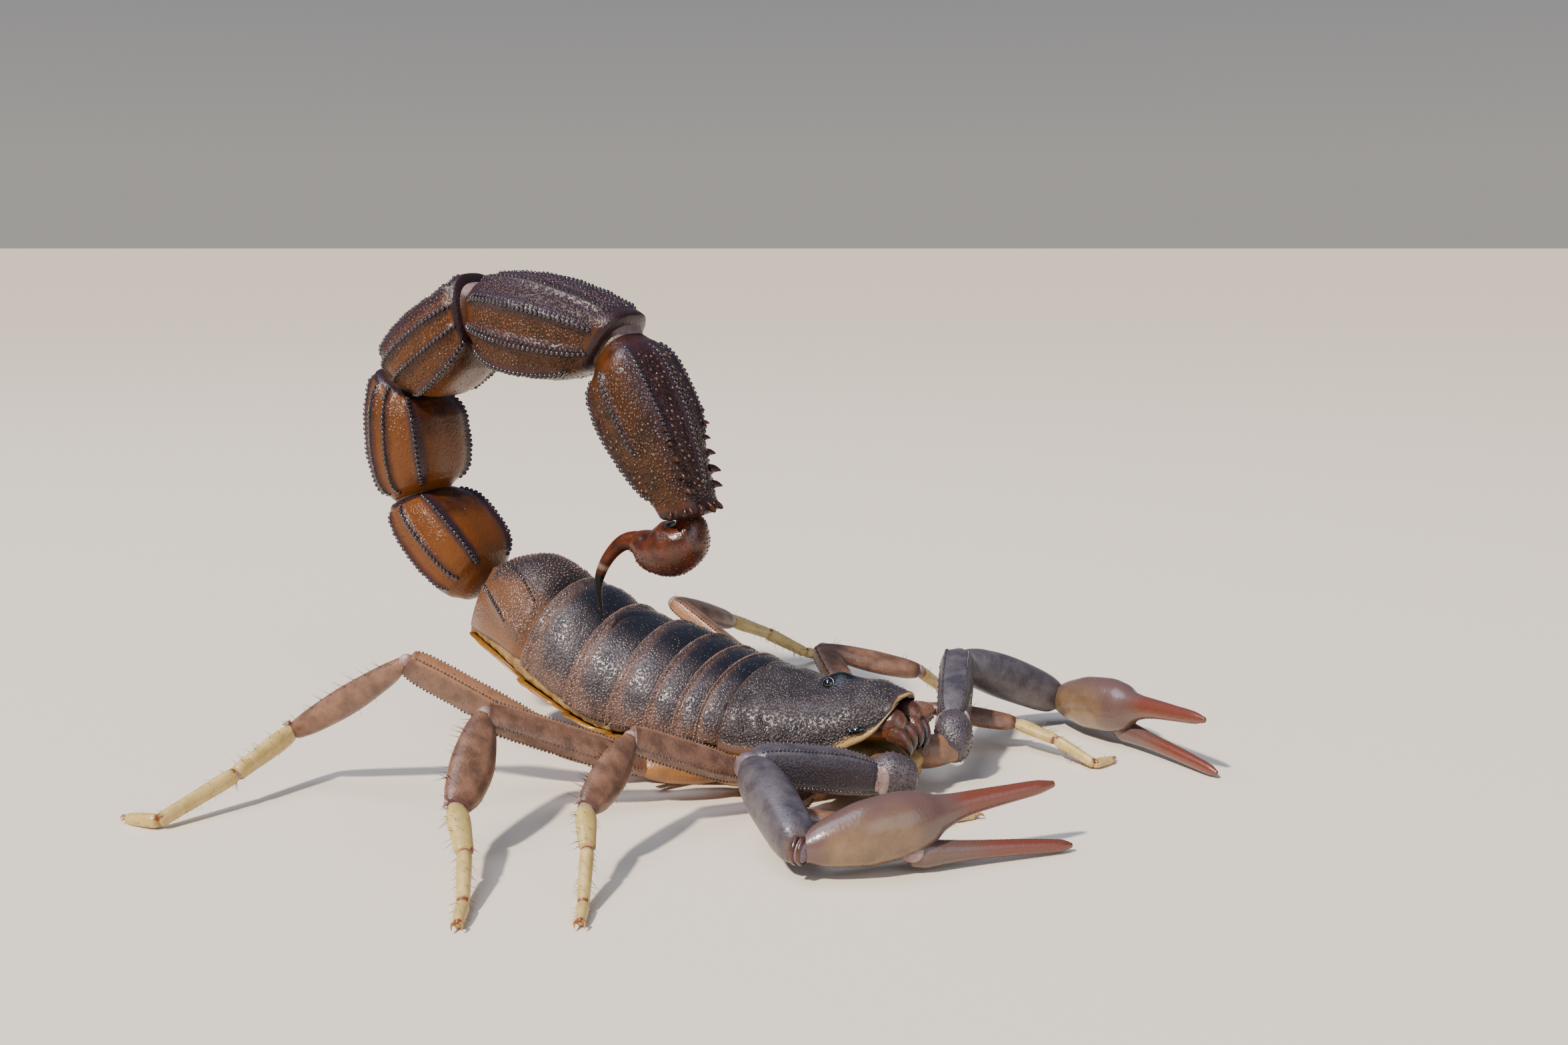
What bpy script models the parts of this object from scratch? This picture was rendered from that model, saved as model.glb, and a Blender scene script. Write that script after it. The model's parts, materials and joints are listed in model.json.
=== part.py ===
"""A granulated thick-tailed scorpion (Parabuthus granulatus), life size, tail raised over its back.

Lengths are in millimetres and become metres as each mesh is made. The body frame has the middle of the
carapace's front edge at x = 0, y = 0 and the ground at z = 0. The head looks along +X, the animal's right
side is at -Y, and an empty then carries the middle of the whole outline's base to the world origin.
"""

from math import cos, pi, radians, sin

import bmesh
import bpy
from mathutils import Vector

MM = 0.001
JOINT_GAP = 0.3  # clear space between two neighbouring plates
FLAT_BELOW = 0.2  # what comes nearer to the ground than this lies flat on it
BASE_MIDDLE = (-17.94, -0.66)  # middle of the outline on the ground, in the body frame

EYE_RADIUS = 0.5
EYE_PLACE = (-5.5, 1.0, 8.5)
EYE_SOCKET_CLEARANCE = 0.06

# One row for each cross-section of the trunk, on the line where a tergite's side edge runs:
# x, z of that edge, half width, height above it, depth below it, forward lean in degrees.
CARAPACE_SECTIONS = (
    (0.4, 7.2, 2.3, 1.05, -0.75, 0),
    (-0.8, 5.6, 3.4, 3.15, -2.45, 0),
    (-2.2, 4.8, 4.3, 4.2, -3.3, 2),
    (-3.2, 4.25, 4.9, 4.55, -3.3, 2),
    (-4.5, 4.1, 5.2, 4.35, -2.6, 2),
    (-5.5, 4.0, 5.5, 4.35, -2.0, 3),
    (-6.7, 3.85, 5.9, 4.55, -1.6, 3),
    (-8.4, 3.7, 6.3, 4.9, -1.6, 4),
    (-10.6, 3.6, 6.7, 5.35, -1.6, 5),
    (-12.1, 3.8, 6.8, 5.25, -1.3, 6),
)
TUBERCLE = {"x": -5.2, "long": 2.1, "wide": 1.4, "tall": 0.65, "above": 7.0, "roundness": 0.7}
TRUNK_SECTIONS = (
    (-12.5, 3.9, 6.8, 5.1, 0.2, 6),
    (-14.3, 4.1, 7.1, 5.15, 0.4, 7),
    (-16.4, 4.1, 7.2, 5.6, 0.4, 8),
    (-19.0, 4.1, 7.3, 6.45, 0.7, 10),
    (-22.7, 4.2, 7.2, 7.2, 1.5, 12),
    (-27.0, 5.5, 6.9, 6.95, 2.0, 14),
    (-32.0, 7.9, 6.0, 6.6, 2.8, 18),
)
LAST_PLATE_SECTIONS = (  # the seventh plate, domed behind and narrowing to the tail
    (-32.15, 7.95, 5.9, 6.3, 2.75, 18),
    (-33.2, 8.45, 5.8, 7.2, 2.6, 18),
    (-35.3, 9.15, 5.2, 7.1, 2.1, 16),
    (-37.6, 9.6, 4.4, 6.4, 1.5, 15),
    (-39.5, 9.85, 3.3, 5.2, 1.0, 14),
)
PLATE_STEP = 0.28  # how far a tergite's rear margin stands above the front of the next one
BACK_ARCH, BELLY_ARCH = 0.82, 0.6  # powers of the section curve: 1 is an ellipse, less is fuller

# Joints of the tail from the trunk to the telson, leaning a little to the right, and each segment's girth.
TRUNK_AXIS_POINT, TELSON_AXIS_POINT = (-33.0, 0, 10.6), (-17.6, -2.7, 18.0)
TAIL_JOINTS = ((-40.3, 0, 13.2), (-46.8, -0.3, 20.5), (-47.2, -0.8, 30.8), (-38.6, -1.5, 36.9),
               (-24.5, -1.9, 34.8), (-17.2, -2.6, 21.5))
TAIL_WIDTHS = (8.6, 8.9, 9.2, 9.3, 8.4)
TAIL_HEIGHTS = (7.1, 7.3, 7.7, 8.3, 7.0)
TAIL_BULGE = ((0.0, 0.62), (0.07, 0.78), (0.2, 0.93), (0.45, 1.0), (0.72, 0.97), (0.9, 0.86), (1.0, 0.70))
FOURTH_BULGE = ((0.0, 0.64), (0.07, 0.80), (0.2, 0.96), (0.45, 1.05), (0.72, 0.96), (0.9, 0.80), (1.0, 0.66))
LAST_BULGE = ((0.0, 0.62), (0.08, 0.80), (0.22, 0.97), (0.42, 1.0), (0.66, 0.88), (0.86, 0.70), (1.0, 0.60))
BULGES = (TAIL_BULGE, TAIL_BULGE, TAIL_BULGE, FOURTH_BULGE, LAST_BULGE)
TAIL_CORNERS = 20
TAIL_SQUARENESS = 2.7  # 2 is an ellipse, more is closer to a rectangle
MITRE_SHARE = 0.3  # share of a segment over which its sections turn to the plane of the joint
KEEL_DEPTH = 0.06  # share of the radius by which the furrows between the keels lie deeper

VESICLE_PATH = ((-17.3, -2.6, 20.9), (-17.6, -2.7, 19.5), (-18.7, -2.8, 18.5), (-20.4, -3.0, 18.2),
                (-21.7, -3.2, 18.7))
VESICLE_GIRTH = ((2.6, 2.4), (4.2, 4.0), (4.7, 4.5), (4.1, 3.8), (2.5, 2.3))
ACULEUS_PATH = ((-22.2, -3.3, 18.9), (-23.1, -3.5, 18.8), (-24.2, -3.7, 17.8), (-25.05, -3.9, 16.3),
                (-25.2, -4.2, 14.8), (-24.6, -4.5, 12.4))
ACULEUS_GIRTH = (1.9, 1.6, 1.3, 1.05, 0.8, 0.5)

# Legs: where the coxa ends, the base of the femur, the knee, and the ends of patella, tibia, basitarsus
# and telotarsus. The first number of a name counts the pairs from the front.
LEGS = {
    "leg_1_right": ((-3.5, -5.8, 2.0), (-3.9, -7.8, 1.8), (-4.6, -12.6, 1.4), (2.8, -11.6, 1.5),
                    (5.2, -8.2, 1.1), (6.3, -4.0, 0.5), (7.7, -2.0, 0.32)),
    "leg_2_right": ((-6.7, -6.6, 2.6), (-8.5, -9.9, 3.4), (-13.2, -17.7, 7.5), (-12.0, -25.1, 4.6),
                    (-10.0, -27.8, 2.9), (-8.0, -31.2, 0.6), (-6.7, -33.4, 0.38)),
    "leg_3_right": ((-12.0, -7.6, 2.3), (-16.2, -11.2, 3.1), (-24.6, -20.2, 8.3), (-21.2, -27.7, 3.9),
                    (-17.6, -31.3, 2.4), (-14.8, -35.0, 0.65), (-13.3, -37.4, 0.4)),
    "leg_4_right": ((-19.6, -7.7, 2.4), (-24.2, -11.6, 3.8), (-33.2, -18.7, 11.0), (-43.4, -20.8, 4.5),
                    (-43.6, -26.8, 2.6), (-44.8, -33.3, 0.65), (-48.2, -33.6, 0.4)),
    "leg_1_left": ((-3.4, 5.6, 2.3), (-3.5, 7.7, 2.6), (-3.1, 13.0, 3.5), (3.9, 16.0, 2.3),
                   (7.9, 15.0, 1.6), (11.7, 13.6, 0.5), (12.6, 16.1, 0.32)),
    "leg_2_left": ((-6.7, 6.6, 2.6), (-8.5, 9.9, 3.4), (-14.5, 15.4, 6.8), (-6.8, 19.7, 4.7),
                   (-6.3, 23.6, 2.3), (-6.6, 27.8, 0.6), (-7.2, 30.5, 0.38)),
    "leg_3_left": ((-12.0, 7.6, 2.3), (-16.6, 11.6, 3.8), (-28.7, 13.1, 10.0), (-28.2, 22.2, 6.6),
                   (-27.2, 27.9, 4.2), (-25.6, 33.0, 1.3), (-24.6, 36.1, 0.3)),
    "leg_4_left": ((-19.6, 7.7, 2.4), (-24.2, 11.4, 3.6), (-35.0, 14.2, 8.2), (-45.0, 18.4, 4.2),
                   (-50.3, 21.4, 2.3), (-54.4, 26.2, 0.65), (-57.0, 28.6, 0.4)),
}
LEG_SCALE = {"1": 0.76, "2": 0.88, "3": 0.97, "4": 1.0}
PATELLA_DEPTH = {"1": 2.9, "2": 3.05, "3": 3.4, "4": 2.4}  # of the leaf-shaped piece, before the leg's scale

# Girth along each leg piece on the fourth pair: share of the length, width, height. A leg is flattened in the
# plane of its knee, so the height lies in that plane; a patella's is a share of its depth.
TROCHANTER_GIRTH = ((0.0, 1.7, 2.3), (0.55, 2.1, 2.7), (0.95, 1.3, 1.7))
FEMUR_GIRTH = ((0.08, 1.5, 2.1), (0.35, 1.6, 2.6), (0.75, 1.6, 2.6), (1.0, 1.4, 2.1))
PATELLA_GIRTH = ((0.0, 1.3, 0.5), (0.2, 1.6, 0.76), (0.55, 1.8, 1.0), (0.85, 1.7, 0.82), (1.0, 1.4, 0.6))
TIBIA_GIRTH = ((0.0, 1.1, 1.5), (0.2, 1.3, 1.8), (0.8, 1.2, 1.5), (1.0, 1.1, 1.3))
TARSUS_GIRTH = ((0.0, 1.1, 1.3), (0.7, 1.1, 1.2), (0.97, 1.0, 1.1))
TIP_GIRTH = ((0.1, 1.0, 1.1), (0.6, 0.9, 1.0), (1.0, 0.6, 0.7))

# Pedipalps: trochanter's front, base of the femur, elbow, wrist, finger joint, tip of the fixed finger
# and tip of the movable finger.
PEDIPALPS = {
    "right": ((3.2, -4.2, 3.0), (0.9, -5.7, 3.2), (-6.0, -12.8, 5.0), (1.9, -19.7, 2.3), (7.8, -14.6, 1.2),
              (14.7, -5.3, 4.8), (16.2, -5.4, 0.5)),
    "left": ((3.0, 4.6, 2.7), (1.9, 6.6, 4.4), (-1.6, 16.0, 7.0), (4.3, 25.2, 2.3), (11.0, 21.9, 1.3),
             (20.2, 15.3, 5.0), (21.2, 16.0, 0.5)),
}
PALP_TROCHANTER_GIRTH = ((0.0, 2.3, 3.0), (0.5, 3.0, 3.9), (0.9, 2.3, 2.9))
PALP_FEMUR_GIRTH = ((0.1, 2.3, 2.8), (0.4, 2.8, 3.4), (0.8, 2.9, 3.4), (1.0, 2.4, 2.8))
PALP_PATELLA_GIRTH = ((0.0, 2.2, 2.6), (0.15, 3.0, 3.4), (0.45, 3.5, 3.9), (0.8, 3.3, 3.6), (1.0, 2.4, 2.6))
MANUS_GIRTH = ((0.0, 2.0, 2.2), (0.12, 3.3, 3.6), (0.35, 4.2, 4.6), (0.65, 4.1, 4.6), (0.92, 3.1, 3.6))
MANUS_SHARE = 0.42  # of the way from the wrist to the tips
FINGER_RISE = 1.0  # how far the fixed finger's root lies above the middle of the hand
THUMB_OFFSET = 0.9  # how far in front of its joint the solid of the movable finger starts
FINGER_GIRTH = ((0.04, 1.8, 2.0), (0.25, 1.3, 1.5), (0.6, 1.1, 1.2), (0.9, 0.8, 0.9), (1.0, 0.5, 0.5))
THUMB_GIRTH = ((0.0, 1.4, 1.5), (0.15, 1.5, 1.6), (0.35, 1.2, 1.3), (0.9, 0.8, 0.9), (1.0, 0.5, 0.5))
FIXED_BOW, THUMB_BOW = 0.3, -0.1

CHELICERA_PATH = ((-3.6, 1.6, 5.3), (-2.0, 1.6, 5.75), (-0.6, 1.5, 6.0), (0.5, 1.42, 6.0), (1.2, 1.3, 5.4),
                  (1.35, 1.05, 4.0))
CHELICERA_GIRTH = ((2.2, 1.6), (2.5, 2.1), (2.35, 2.5), (2.15, 2.5), (1.7, 1.7), (0.8, 0.7))

# Underside of the front body: x, half width, top, bottom.
STERNUM_SECTIONS = (
    (1.6, 1.6, 3.1, 2.0), (0.4, 3.0, 3.6, 1.6), (-2.0, 3.9, 3.9, 1.2), (-5.0, 4.7, 4.4, 1.0),
    (-8.0, 5.4, 4.3, 0.9), (-11.9, 5.9, 4.2, 0.9), (-12.1, 5.9, 2.6, 0.9), (-15.6, 4.6, 2.6, 1.1),
)
COXA_ROOTS = ((-1.6, 2.4), (-4.2, 2.6), (-7.6, 2.8), (-10.4, 2.8))  # x and half spread of each pair
COXA_GIRTH = (2.4, 2.7, 2.9, 3.0)
COXA_DEPTH = 2.4
COXA_LEVEL = 2.1
STERNUM_SQUARENESS = 3.2
PECTINE = ((-13.4, 1.6, 1.6), (-15.6, 4.6, 1.5), (-17.6, 8.9, 1.3))
PECTINE_GIRTH = ((2.4, 0.9), (2.2, 0.8), (0.9, 0.6))

COLOURS = {
    "trunk_cuticle": ((0.085, 0.062, 0.060), 0.32),
    "tail_cuticle": ((0.120, 0.058, 0.034), 0.28),
    "sting": ((0.150, 0.045, 0.022), 0.22),
    "underside": ((0.560, 0.330, 0.110), 0.35),
    "eye": ((0.004, 0.004, 0.006), 0.05),
    "chelicera": ((0.200, 0.082, 0.040), 0.30),
    "palp_cuticle": ((0.110, 0.088, 0.082), 0.35),
    "hand": ((0.180, 0.110, 0.062), 0.25),
    "finger": ((0.260, 0.072, 0.042), 0.28),
    "leg_cuticle": ((0.210, 0.135, 0.105), 0.40),
    "pale_leg": ((0.640, 0.560, 0.290), 0.42),
}


def clear_scene():
    for item in list(bpy.data.objects):
        bpy.data.objects.remove(item, do_unlink=True)


def collection(name):
    made = bpy.data.collections.new(name)
    bpy.context.scene.collection.children.link(made)
    return made


def material(name):
    colour, roughness = COLOURS[name]
    made = bpy.data.materials.new(name)
    made.use_nodes = True
    shader = made.node_tree.nodes["Principled BSDF"]
    shader.inputs["Base Color"].default_value = (*colour, 1)
    shader.inputs["Roughness"].default_value = roughness
    shader.inputs["Metallic"].default_value = 0
    return made


def loft(rings):
    """A closed mesh through rings of equal point counts, capped at both ends."""
    shape = bmesh.new()
    layers = [[shape.verts.new(Vector(point) * MM) for point in ring] for ring in rings]
    count = len(layers[0])
    for near, far in zip(layers, layers[1:]):
        for i in range(count):
            j = (i + 1) % count
            shape.faces.new((near[i], near[j], far[j], far[i]))
    shape.faces.new(list(reversed(layers[0])))
    shape.faces.new(layers[-1])
    bmesh.ops.recalc_face_normals(shape, faces=shape.faces)
    return shape


def make_object(name, shape, colour, owner, parent):
    mesh = bpy.data.meshes.new(name)
    shape.to_mesh(mesh)
    shape.free()
    mesh.shade_smooth()
    made = bpy.data.objects.new(name, mesh)
    owner.objects.link(made)
    made.parent = parent
    if colour:
        mesh.materials.append(colour)
    return made


def oval(centre, across, up, width, height, corners=10):
    """Points of an ellipse round a centre, counted from the side that across points to."""
    turns = [2 * pi * i / corners for i in range(corners)]
    return [centre + across * (width / 2 * cos(turn)) + up * (height / 2 * sin(turn)) for turn in turns]


def cut_to_joint(rings, joint, before, after, ends_here):
    """Trims rings to the plane that halves the bend of two pieces, half a gap short of it."""
    plane = (before.normalized() + after.normalized()).normalized()
    along = before.normalized() if ends_here else after.normalized() * -1
    if not ends_here:
        plane = -plane
    for ring in rings:
        for point in ring:
            beyond = (point - Vector(joint)).dot(plane) + JOINT_GAP / 2
            if beyond > 0:
                point -= along * (beyond / along.dot(plane))
    return rings


def grounded(ring):
    """The same ring with whatever comes close to the ground pressed flat on it."""
    return [Vector((point.x, point.y, point.z if point.z > FLAT_BELOW else 0)) for point in ring]


def section_axes(direction):
    """The level sideways axis and the upward axis of a section square to a limb."""
    across = direction.cross(Vector((0, 0, 1))).normalized()
    return across, across.cross(direction).normalized()


def limb_rings(start, end, girth, scale=1.0, corners=10, gap=JOINT_GAP / 2, hinge=None):
    """Rings along a straight piece between two joints, half a gap short of each.

    The sections' width lies along the hinge of the limb's main joint, or level where none is given.
    """
    start, end = Vector(start), Vector(end)
    direction = (end - start).normalized()
    start, end = start + direction * gap, end - direction * gap
    across, up = section_axes(direction)
    if hinge:
        across = (hinge - direction * hinge.dot(direction)).normalized()
        up = across.cross(direction)
    return [
        grounded(oval(start.lerp(end, share), across, up, width * scale, height * scale, corners))
        for share, width, height in girth
    ]


def path_rings(path, girth, corners=10, flatten=False):
    """Rings square to a bent path, with a width and a height for each of its points."""
    points = [Vector(point) for point in path]
    rings = []
    for i, point in enumerate(points):
        direction = (points[min(i + 1, len(points) - 1)] - points[max(i - 1, 0)]).normalized()
        across = Vector((0, 1, 0)) if not flatten else section_axes(direction)[0]
        up = across.cross(direction).normalized()
        width, height = girth[i]
        rings.append(oval(point, up.cross(direction).normalized() * -1, up, width, height, corners))
    return rings


def trunk_ring(section, corners=22, lift=0.0):
    """A section of the trunk: an arched back over a flatter belly, meeting at the side edges."""
    x, edge, half_width, above, below, lean = section
    up = Vector((sin(radians(lean)), 0, cos(radians(lean))))
    ring = []
    for i in range(corners):
        turn = 2 * pi * i / corners
        side, rise = cos(turn), sin(turn)
        if rise >= 0:
            height = (above + lift) * rise ** BACK_ARCH
        else:
            height = -below * abs(rise) ** (BELLY_ARCH if below > 0 else 1)
        ring.append(Vector((x, half_width * side, edge)) + up * height)
    return ring


def carapace_shape():
    """The head shield, with the tubercle that carries the middle eyes raised out of it."""
    rings = [trunk_ring(section) for section in CARAPACE_SECTIONS]
    for ring in rings:
        for point in ring:
            along = (point.x - TUBERCLE["x"]) / TUBERCLE["long"]
            aside = point.y / TUBERCLE["wide"]
            reach = along * along + aside * aside
            if reach < 1 and point.z > TUBERCLE["above"]:
                point.z += TUBERCLE["tall"] * (1 - reach) ** TUBERCLE["roundness"]
    return loft(rings)


def tergite_shape(front, rear):
    """One trunk segment, whose rear margin stands a little over the front of the next."""
    def between(share):
        return tuple(a + (b - a) * share for a, b in zip(front, rear))

    length = abs(front[0] - rear[0])
    inset = JOINT_GAP / 2 / length
    shares = (inset, 0.35, 0.8, 1 - inset)
    lifts = (0, PLATE_STEP * 0.3, PLATE_STEP, PLATE_STEP)
    return loft([trunk_ring(between(share), lift=lift) for share, lift in zip(shares, lifts)])


def keeled_ring(centre, dorsal, half_width, half_height):
    """A tail section: a blunt square with ten keels and the furrows between them."""
    ring = []
    for i in range(TAIL_CORNERS):
        turn = 2 * pi * i / TAIL_CORNERS
        side, rise = cos(turn), sin(turn)
        reach = (abs(side) ** TAIL_SQUARENESS + abs(rise) ** TAIL_SQUARENESS) ** (-1 / TAIL_SQUARENESS)
        reach *= 1 - KEEL_DEPTH * (i % 2)
        across = Vector((0, half_width * reach * side, 0))
        ring.append(centre + across + dorsal * (half_height * reach * rise))
    return ring


def dorsal_of(direction):
    return Vector((direction.z, 0, -direction.x)).normalized()


def tail_shape(index):
    """One tail segment. Its end faces lie halfway between its own direction and its neighbour's."""
    before, start, end, after = (
        Vector(point) for point in (TRUNK_AXIS_POINT, *TAIL_JOINTS, TELSON_AXIS_POINT)[index:index + 4]
    )
    along = (end - start).normalized()
    first = dorsal_of(along + (start - before).normalized())
    last = dorsal_of(along + (after - end).normalized())
    middle = dorsal_of(along)
    start, end = start + along * JOINT_GAP / 2, end - along * JOINT_GAP / 2
    rings = []
    for share, swell in BULGES[index]:
        near_start, near_end = max(0, 1 - share / MITRE_SHARE), max(0, 1 - (1 - share) / MITRE_SHARE)
        dorsal = middle.lerp(first, near_start).lerp(last, near_end).normalized()
        rings.append(keeled_ring(start.lerp(end, share), dorsal, TAIL_WIDTHS[index] / 2 * swell,
                                 TAIL_HEIGHTS[index] / 2 * swell))
    return loft(rings)


def coxa_root(name):
    """Where the coxa of a leg starts beside the sternum, seen from above."""
    x, spread = COXA_ROOTS[int(name.split("_")[1]) - 1]
    return x, spread if name.endswith("left") else -spread


def leg_shapes(name, joints):
    """The four pieces of a leg: trochanter with femur, patella, tibia, and the two-part foot."""
    scale = LEG_SCALE[name.split("_")[1]]
    coxa, base, knee, shin, ankle, foot, tip = (Vector(joint) for joint in joints)
    hinge = (knee - base).cross(shin - knee).normalized()
    depth = PATELLA_DEPTH[name.split("_")[1]]
    leaf = [(share, width, height * depth) for share, width, height in PATELLA_GIRTH]
    thigh = limb_rings(coxa, base, TROCHANTER_GIRTH, scale, hinge=hinge)
    thigh += limb_rings(base, knee, FEMUR_GIRTH, scale, hinge=hinge)
    patella = limb_rings(knee, shin, leaf, scale, hinge=hinge)
    tibia = limb_rings(shin, ankle, TIBIA_GIRTH, scale, 8, hinge=hinge)
    tarsus = limb_rings(ankle, foot, TARSUS_GIRTH, scale) + limb_rings(foot, tip, TIP_GIRTH, scale, gap=0)
    root = Vector((*coxa_root(name), COXA_LEVEL))
    cut_to_joint(thigh[:1], coxa, coxa - root, base - coxa, False)
    cut_to_joint(thigh[-3:], knee, knee - base, shin - knee, True)
    cut_to_joint(patella[:3], knee, knee - base, shin - knee, False)
    cut_to_joint(patella[-3:], shin, shin - knee, ankle - shin, True)
    cut_to_joint(tibia[:2], shin, shin - knee, ankle - shin, False)
    cut_to_joint(tibia[-2:], ankle, ankle - shin, foot - ankle, True)
    cut_to_joint(tarsus[:1], ankle, ankle - shin, foot - ankle, False)
    return (
        ("femur", loft(thigh), "leg_cuticle"),
        ("patella", loft(patella), "leg_cuticle"),
        ("tibia", loft(tibia), "pale_leg"),
        ("tarsus", loft(tarsus), "pale_leg"),
    )


def finger_rings(start, end, girth, bow, corners=8):
    """A finger that bows a little towards the side that bow points to."""
    start, end = Vector(start), Vector(end)
    direction = (end - start).normalized()
    across, up = section_axes(direction)
    rings = []
    for share, width, height in girth:
        centre = start.lerp(end, share) + bow * (4 * share * (1 - share))
        rings.append(grounded(oval(centre, across, up, width, height, corners)))
    return rings


def palp_shapes(joints):
    """A pedipalp: trochanter with femur, patella, hand with its fixed finger, and movable finger."""
    front, base, elbow, wrist, knuckle, fixed_tip, free_tip = (Vector(joint) for joint in joints)
    upper = limb_rings(front, base, PALP_TROCHANTER_GIRTH, corners=12)
    upper += limb_rings(base, elbow, PALP_FEMUR_GIRTH, corners=12)
    patella = limb_rings(elbow, wrist, PALP_PATELLA_GIRTH, corners=12)
    palm_end = wrist.lerp((fixed_tip + free_tip) / 2, MANUS_SHARE)
    hand = limb_rings(wrist, palm_end, MANUS_GIRTH, corners=14)
    cut_to_joint(upper[-3:], elbow, elbow - base, wrist - elbow, True)
    cut_to_joint(patella[:3], elbow, elbow - base, wrist - elbow, False)
    cut_to_joint(patella[-3:], wrist, wrist - elbow, palm_end - wrist, True)
    cut_to_joint(hand[:3], wrist, wrist - elbow, palm_end - wrist, False)
    rise = Vector((0, 0, 1))
    hand += finger_rings(palm_end + rise * FINGER_RISE, fixed_tip, FINGER_GIRTH, rise * FIXED_BOW, 14)
    thumb_root = knuckle + (free_tip - knuckle).normalized() * THUMB_OFFSET
    return (
        ("femur", loft(upper), "palp_cuticle"),
        ("patella", loft(patella), "palp_cuticle"),
        ("hand", loft(hand), "hand"),
        ("finger", loft(finger_rings(thumb_root, free_tip, THUMB_GIRTH, rise * THUMB_BOW)), "finger"),
    )


def mirrored(path, side):
    return [(x, y * side, z) for x, y, z in path]


def sternum_ring(section, corners=20):
    x, half_width, top, bottom = section
    middle, half_height = (top + bottom) / 2, (top - bottom) / 2
    ring = []
    for i in range(corners):
        turn = 2 * pi * i / corners
        side, rise = cos(turn), sin(turn)
        power = STERNUM_SQUARENESS
        reach = (abs(side) ** power + abs(rise) ** power) ** (-1 / power)
        ring.append(Vector((x, half_width * reach * side, middle + half_height * reach * rise)))
    return ring


def underside(owner, parent, helpers, colour):
    """Sternum plate, leg coxae and the two combs (pectines), joined into one body."""
    plate = loft([sternum_ring(row) for row in STERNUM_SECTIONS])
    body = make_object("coxosternum", plate, colour, owner, parent)
    for name, joints in LEGS.items():
        girth = COXA_GIRTH[int(name.split("_")[1]) - 1]
        shares = ((0.0, girth, COXA_DEPTH), (0.6, girth, COXA_DEPTH), (1.0, girth * 0.7, COXA_DEPTH * 0.8))
        root, end = Vector((*coxa_root(name), COXA_LEVEL)), Vector(joints[0])
        rings = limb_rings(root, end, shares)
        cut_to_joint(rings[-1:], end, end - root, Vector(joints[1]) - end, True)
        join(body, make_object(f"{name}_coxa", loft(rings), None, helpers, parent))
    for side in (-1, 1):
        rings = path_rings(mirrored(PECTINE, side), PECTINE_GIRTH, 8, flatten=True)
        join(body, make_object(f"comb_{side}", loft(rings), None, helpers, parent))


def join(body, helper):
    helper.hide_render = True
    helper.display_type = "WIRE"
    union = body.modifiers.new(helper.name, "BOOLEAN")
    union.operation = "UNION"
    union.object = helper


def eyes(owner, parent, helpers, colour, carapace):
    """Two round middle eyes, each in a socket cut into the tubercle."""
    for name, side in (("eye_left", 1), ("eye_right", -1)):
        place = Vector((EYE_PLACE[0], EYE_PLACE[1] * side, EYE_PLACE[2])) * MM
        for label, radius, group in ((name, EYE_RADIUS, owner),
                                     (f"{name}_socket", EYE_RADIUS + EYE_SOCKET_CLEARANCE, helpers)):
            ball = bmesh.new()
            bmesh.ops.create_uvsphere(ball, u_segments=12, v_segments=8, radius=radius * MM)
            made = make_object(label, ball, colour, group, parent)
            made.location = place
            if group is helpers:
                made.hide_render = True
                made.display_type = "WIRE"
                cut = carapace.modifiers.new(label, "BOOLEAN")
                cut.operation = "DIFFERENCE"
                cut.object = made


def main():
    clear_scene()
    parts, helpers = collection("desert_scorpion"), collection("cutters")
    anchor = bpy.data.objects.new("base_middle", None)
    parts.objects.link(anchor)
    anchor.location = (-BASE_MIDDLE[0] * MM, -BASE_MIDDLE[1] * MM, 0)
    paint = {name: material(name) for name in COLOURS}

    carapace = make_object("carapace", carapace_shape(), paint["trunk_cuticle"], parts, anchor)
    eyes(parts, anchor, helpers, paint["eye"], carapace)
    underside(parts, anchor, helpers, paint["underside"])
    plates = [tergite_shape(front, rear) for front, rear in zip(TRUNK_SECTIONS, TRUNK_SECTIONS[1:])]
    plates.append(loft([trunk_ring(section) for section in LAST_PLATE_SECTIONS]))
    for number, shape in enumerate(plates, start=1):
        make_object(f"mesosoma_{number}", shape, paint["trunk_cuticle"], parts, anchor)
    for index in range(len(TAIL_WIDTHS)):
        make_object(f"metasoma_{index + 1}", tail_shape(index), paint["tail_cuticle"], parts, anchor)
    make_object("vesicle", loft(path_rings(VESICLE_PATH, VESICLE_GIRTH, 12)), paint["sting"], parts, anchor)
    sting = path_rings(ACULEUS_PATH, [(girth, girth) for girth in ACULEUS_GIRTH], 10)
    make_object("aculeus", loft(sting), paint["sting"], parts, anchor)
    for side_name, side in (("left", 1), ("right", -1)):
        rings = path_rings(mirrored(CHELICERA_PATH, side), CHELICERA_GIRTH, 12)
        make_object(f"chelicera_{side_name}", loft(rings), paint["chelicera"], parts, anchor)
        for piece, shape, slot in palp_shapes(PEDIPALPS[side_name]):
            make_object(f"palp_{side_name}_{piece}", shape, paint[slot], parts, anchor)
    for name, joints in LEGS.items():
        for piece, shape, slot in leg_shapes(name, joints):
            make_object(f"{name}_{piece}", shape, paint[slot], parts, anchor)


main()
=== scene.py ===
import json
from math import cos, pi, radians, sin

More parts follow.
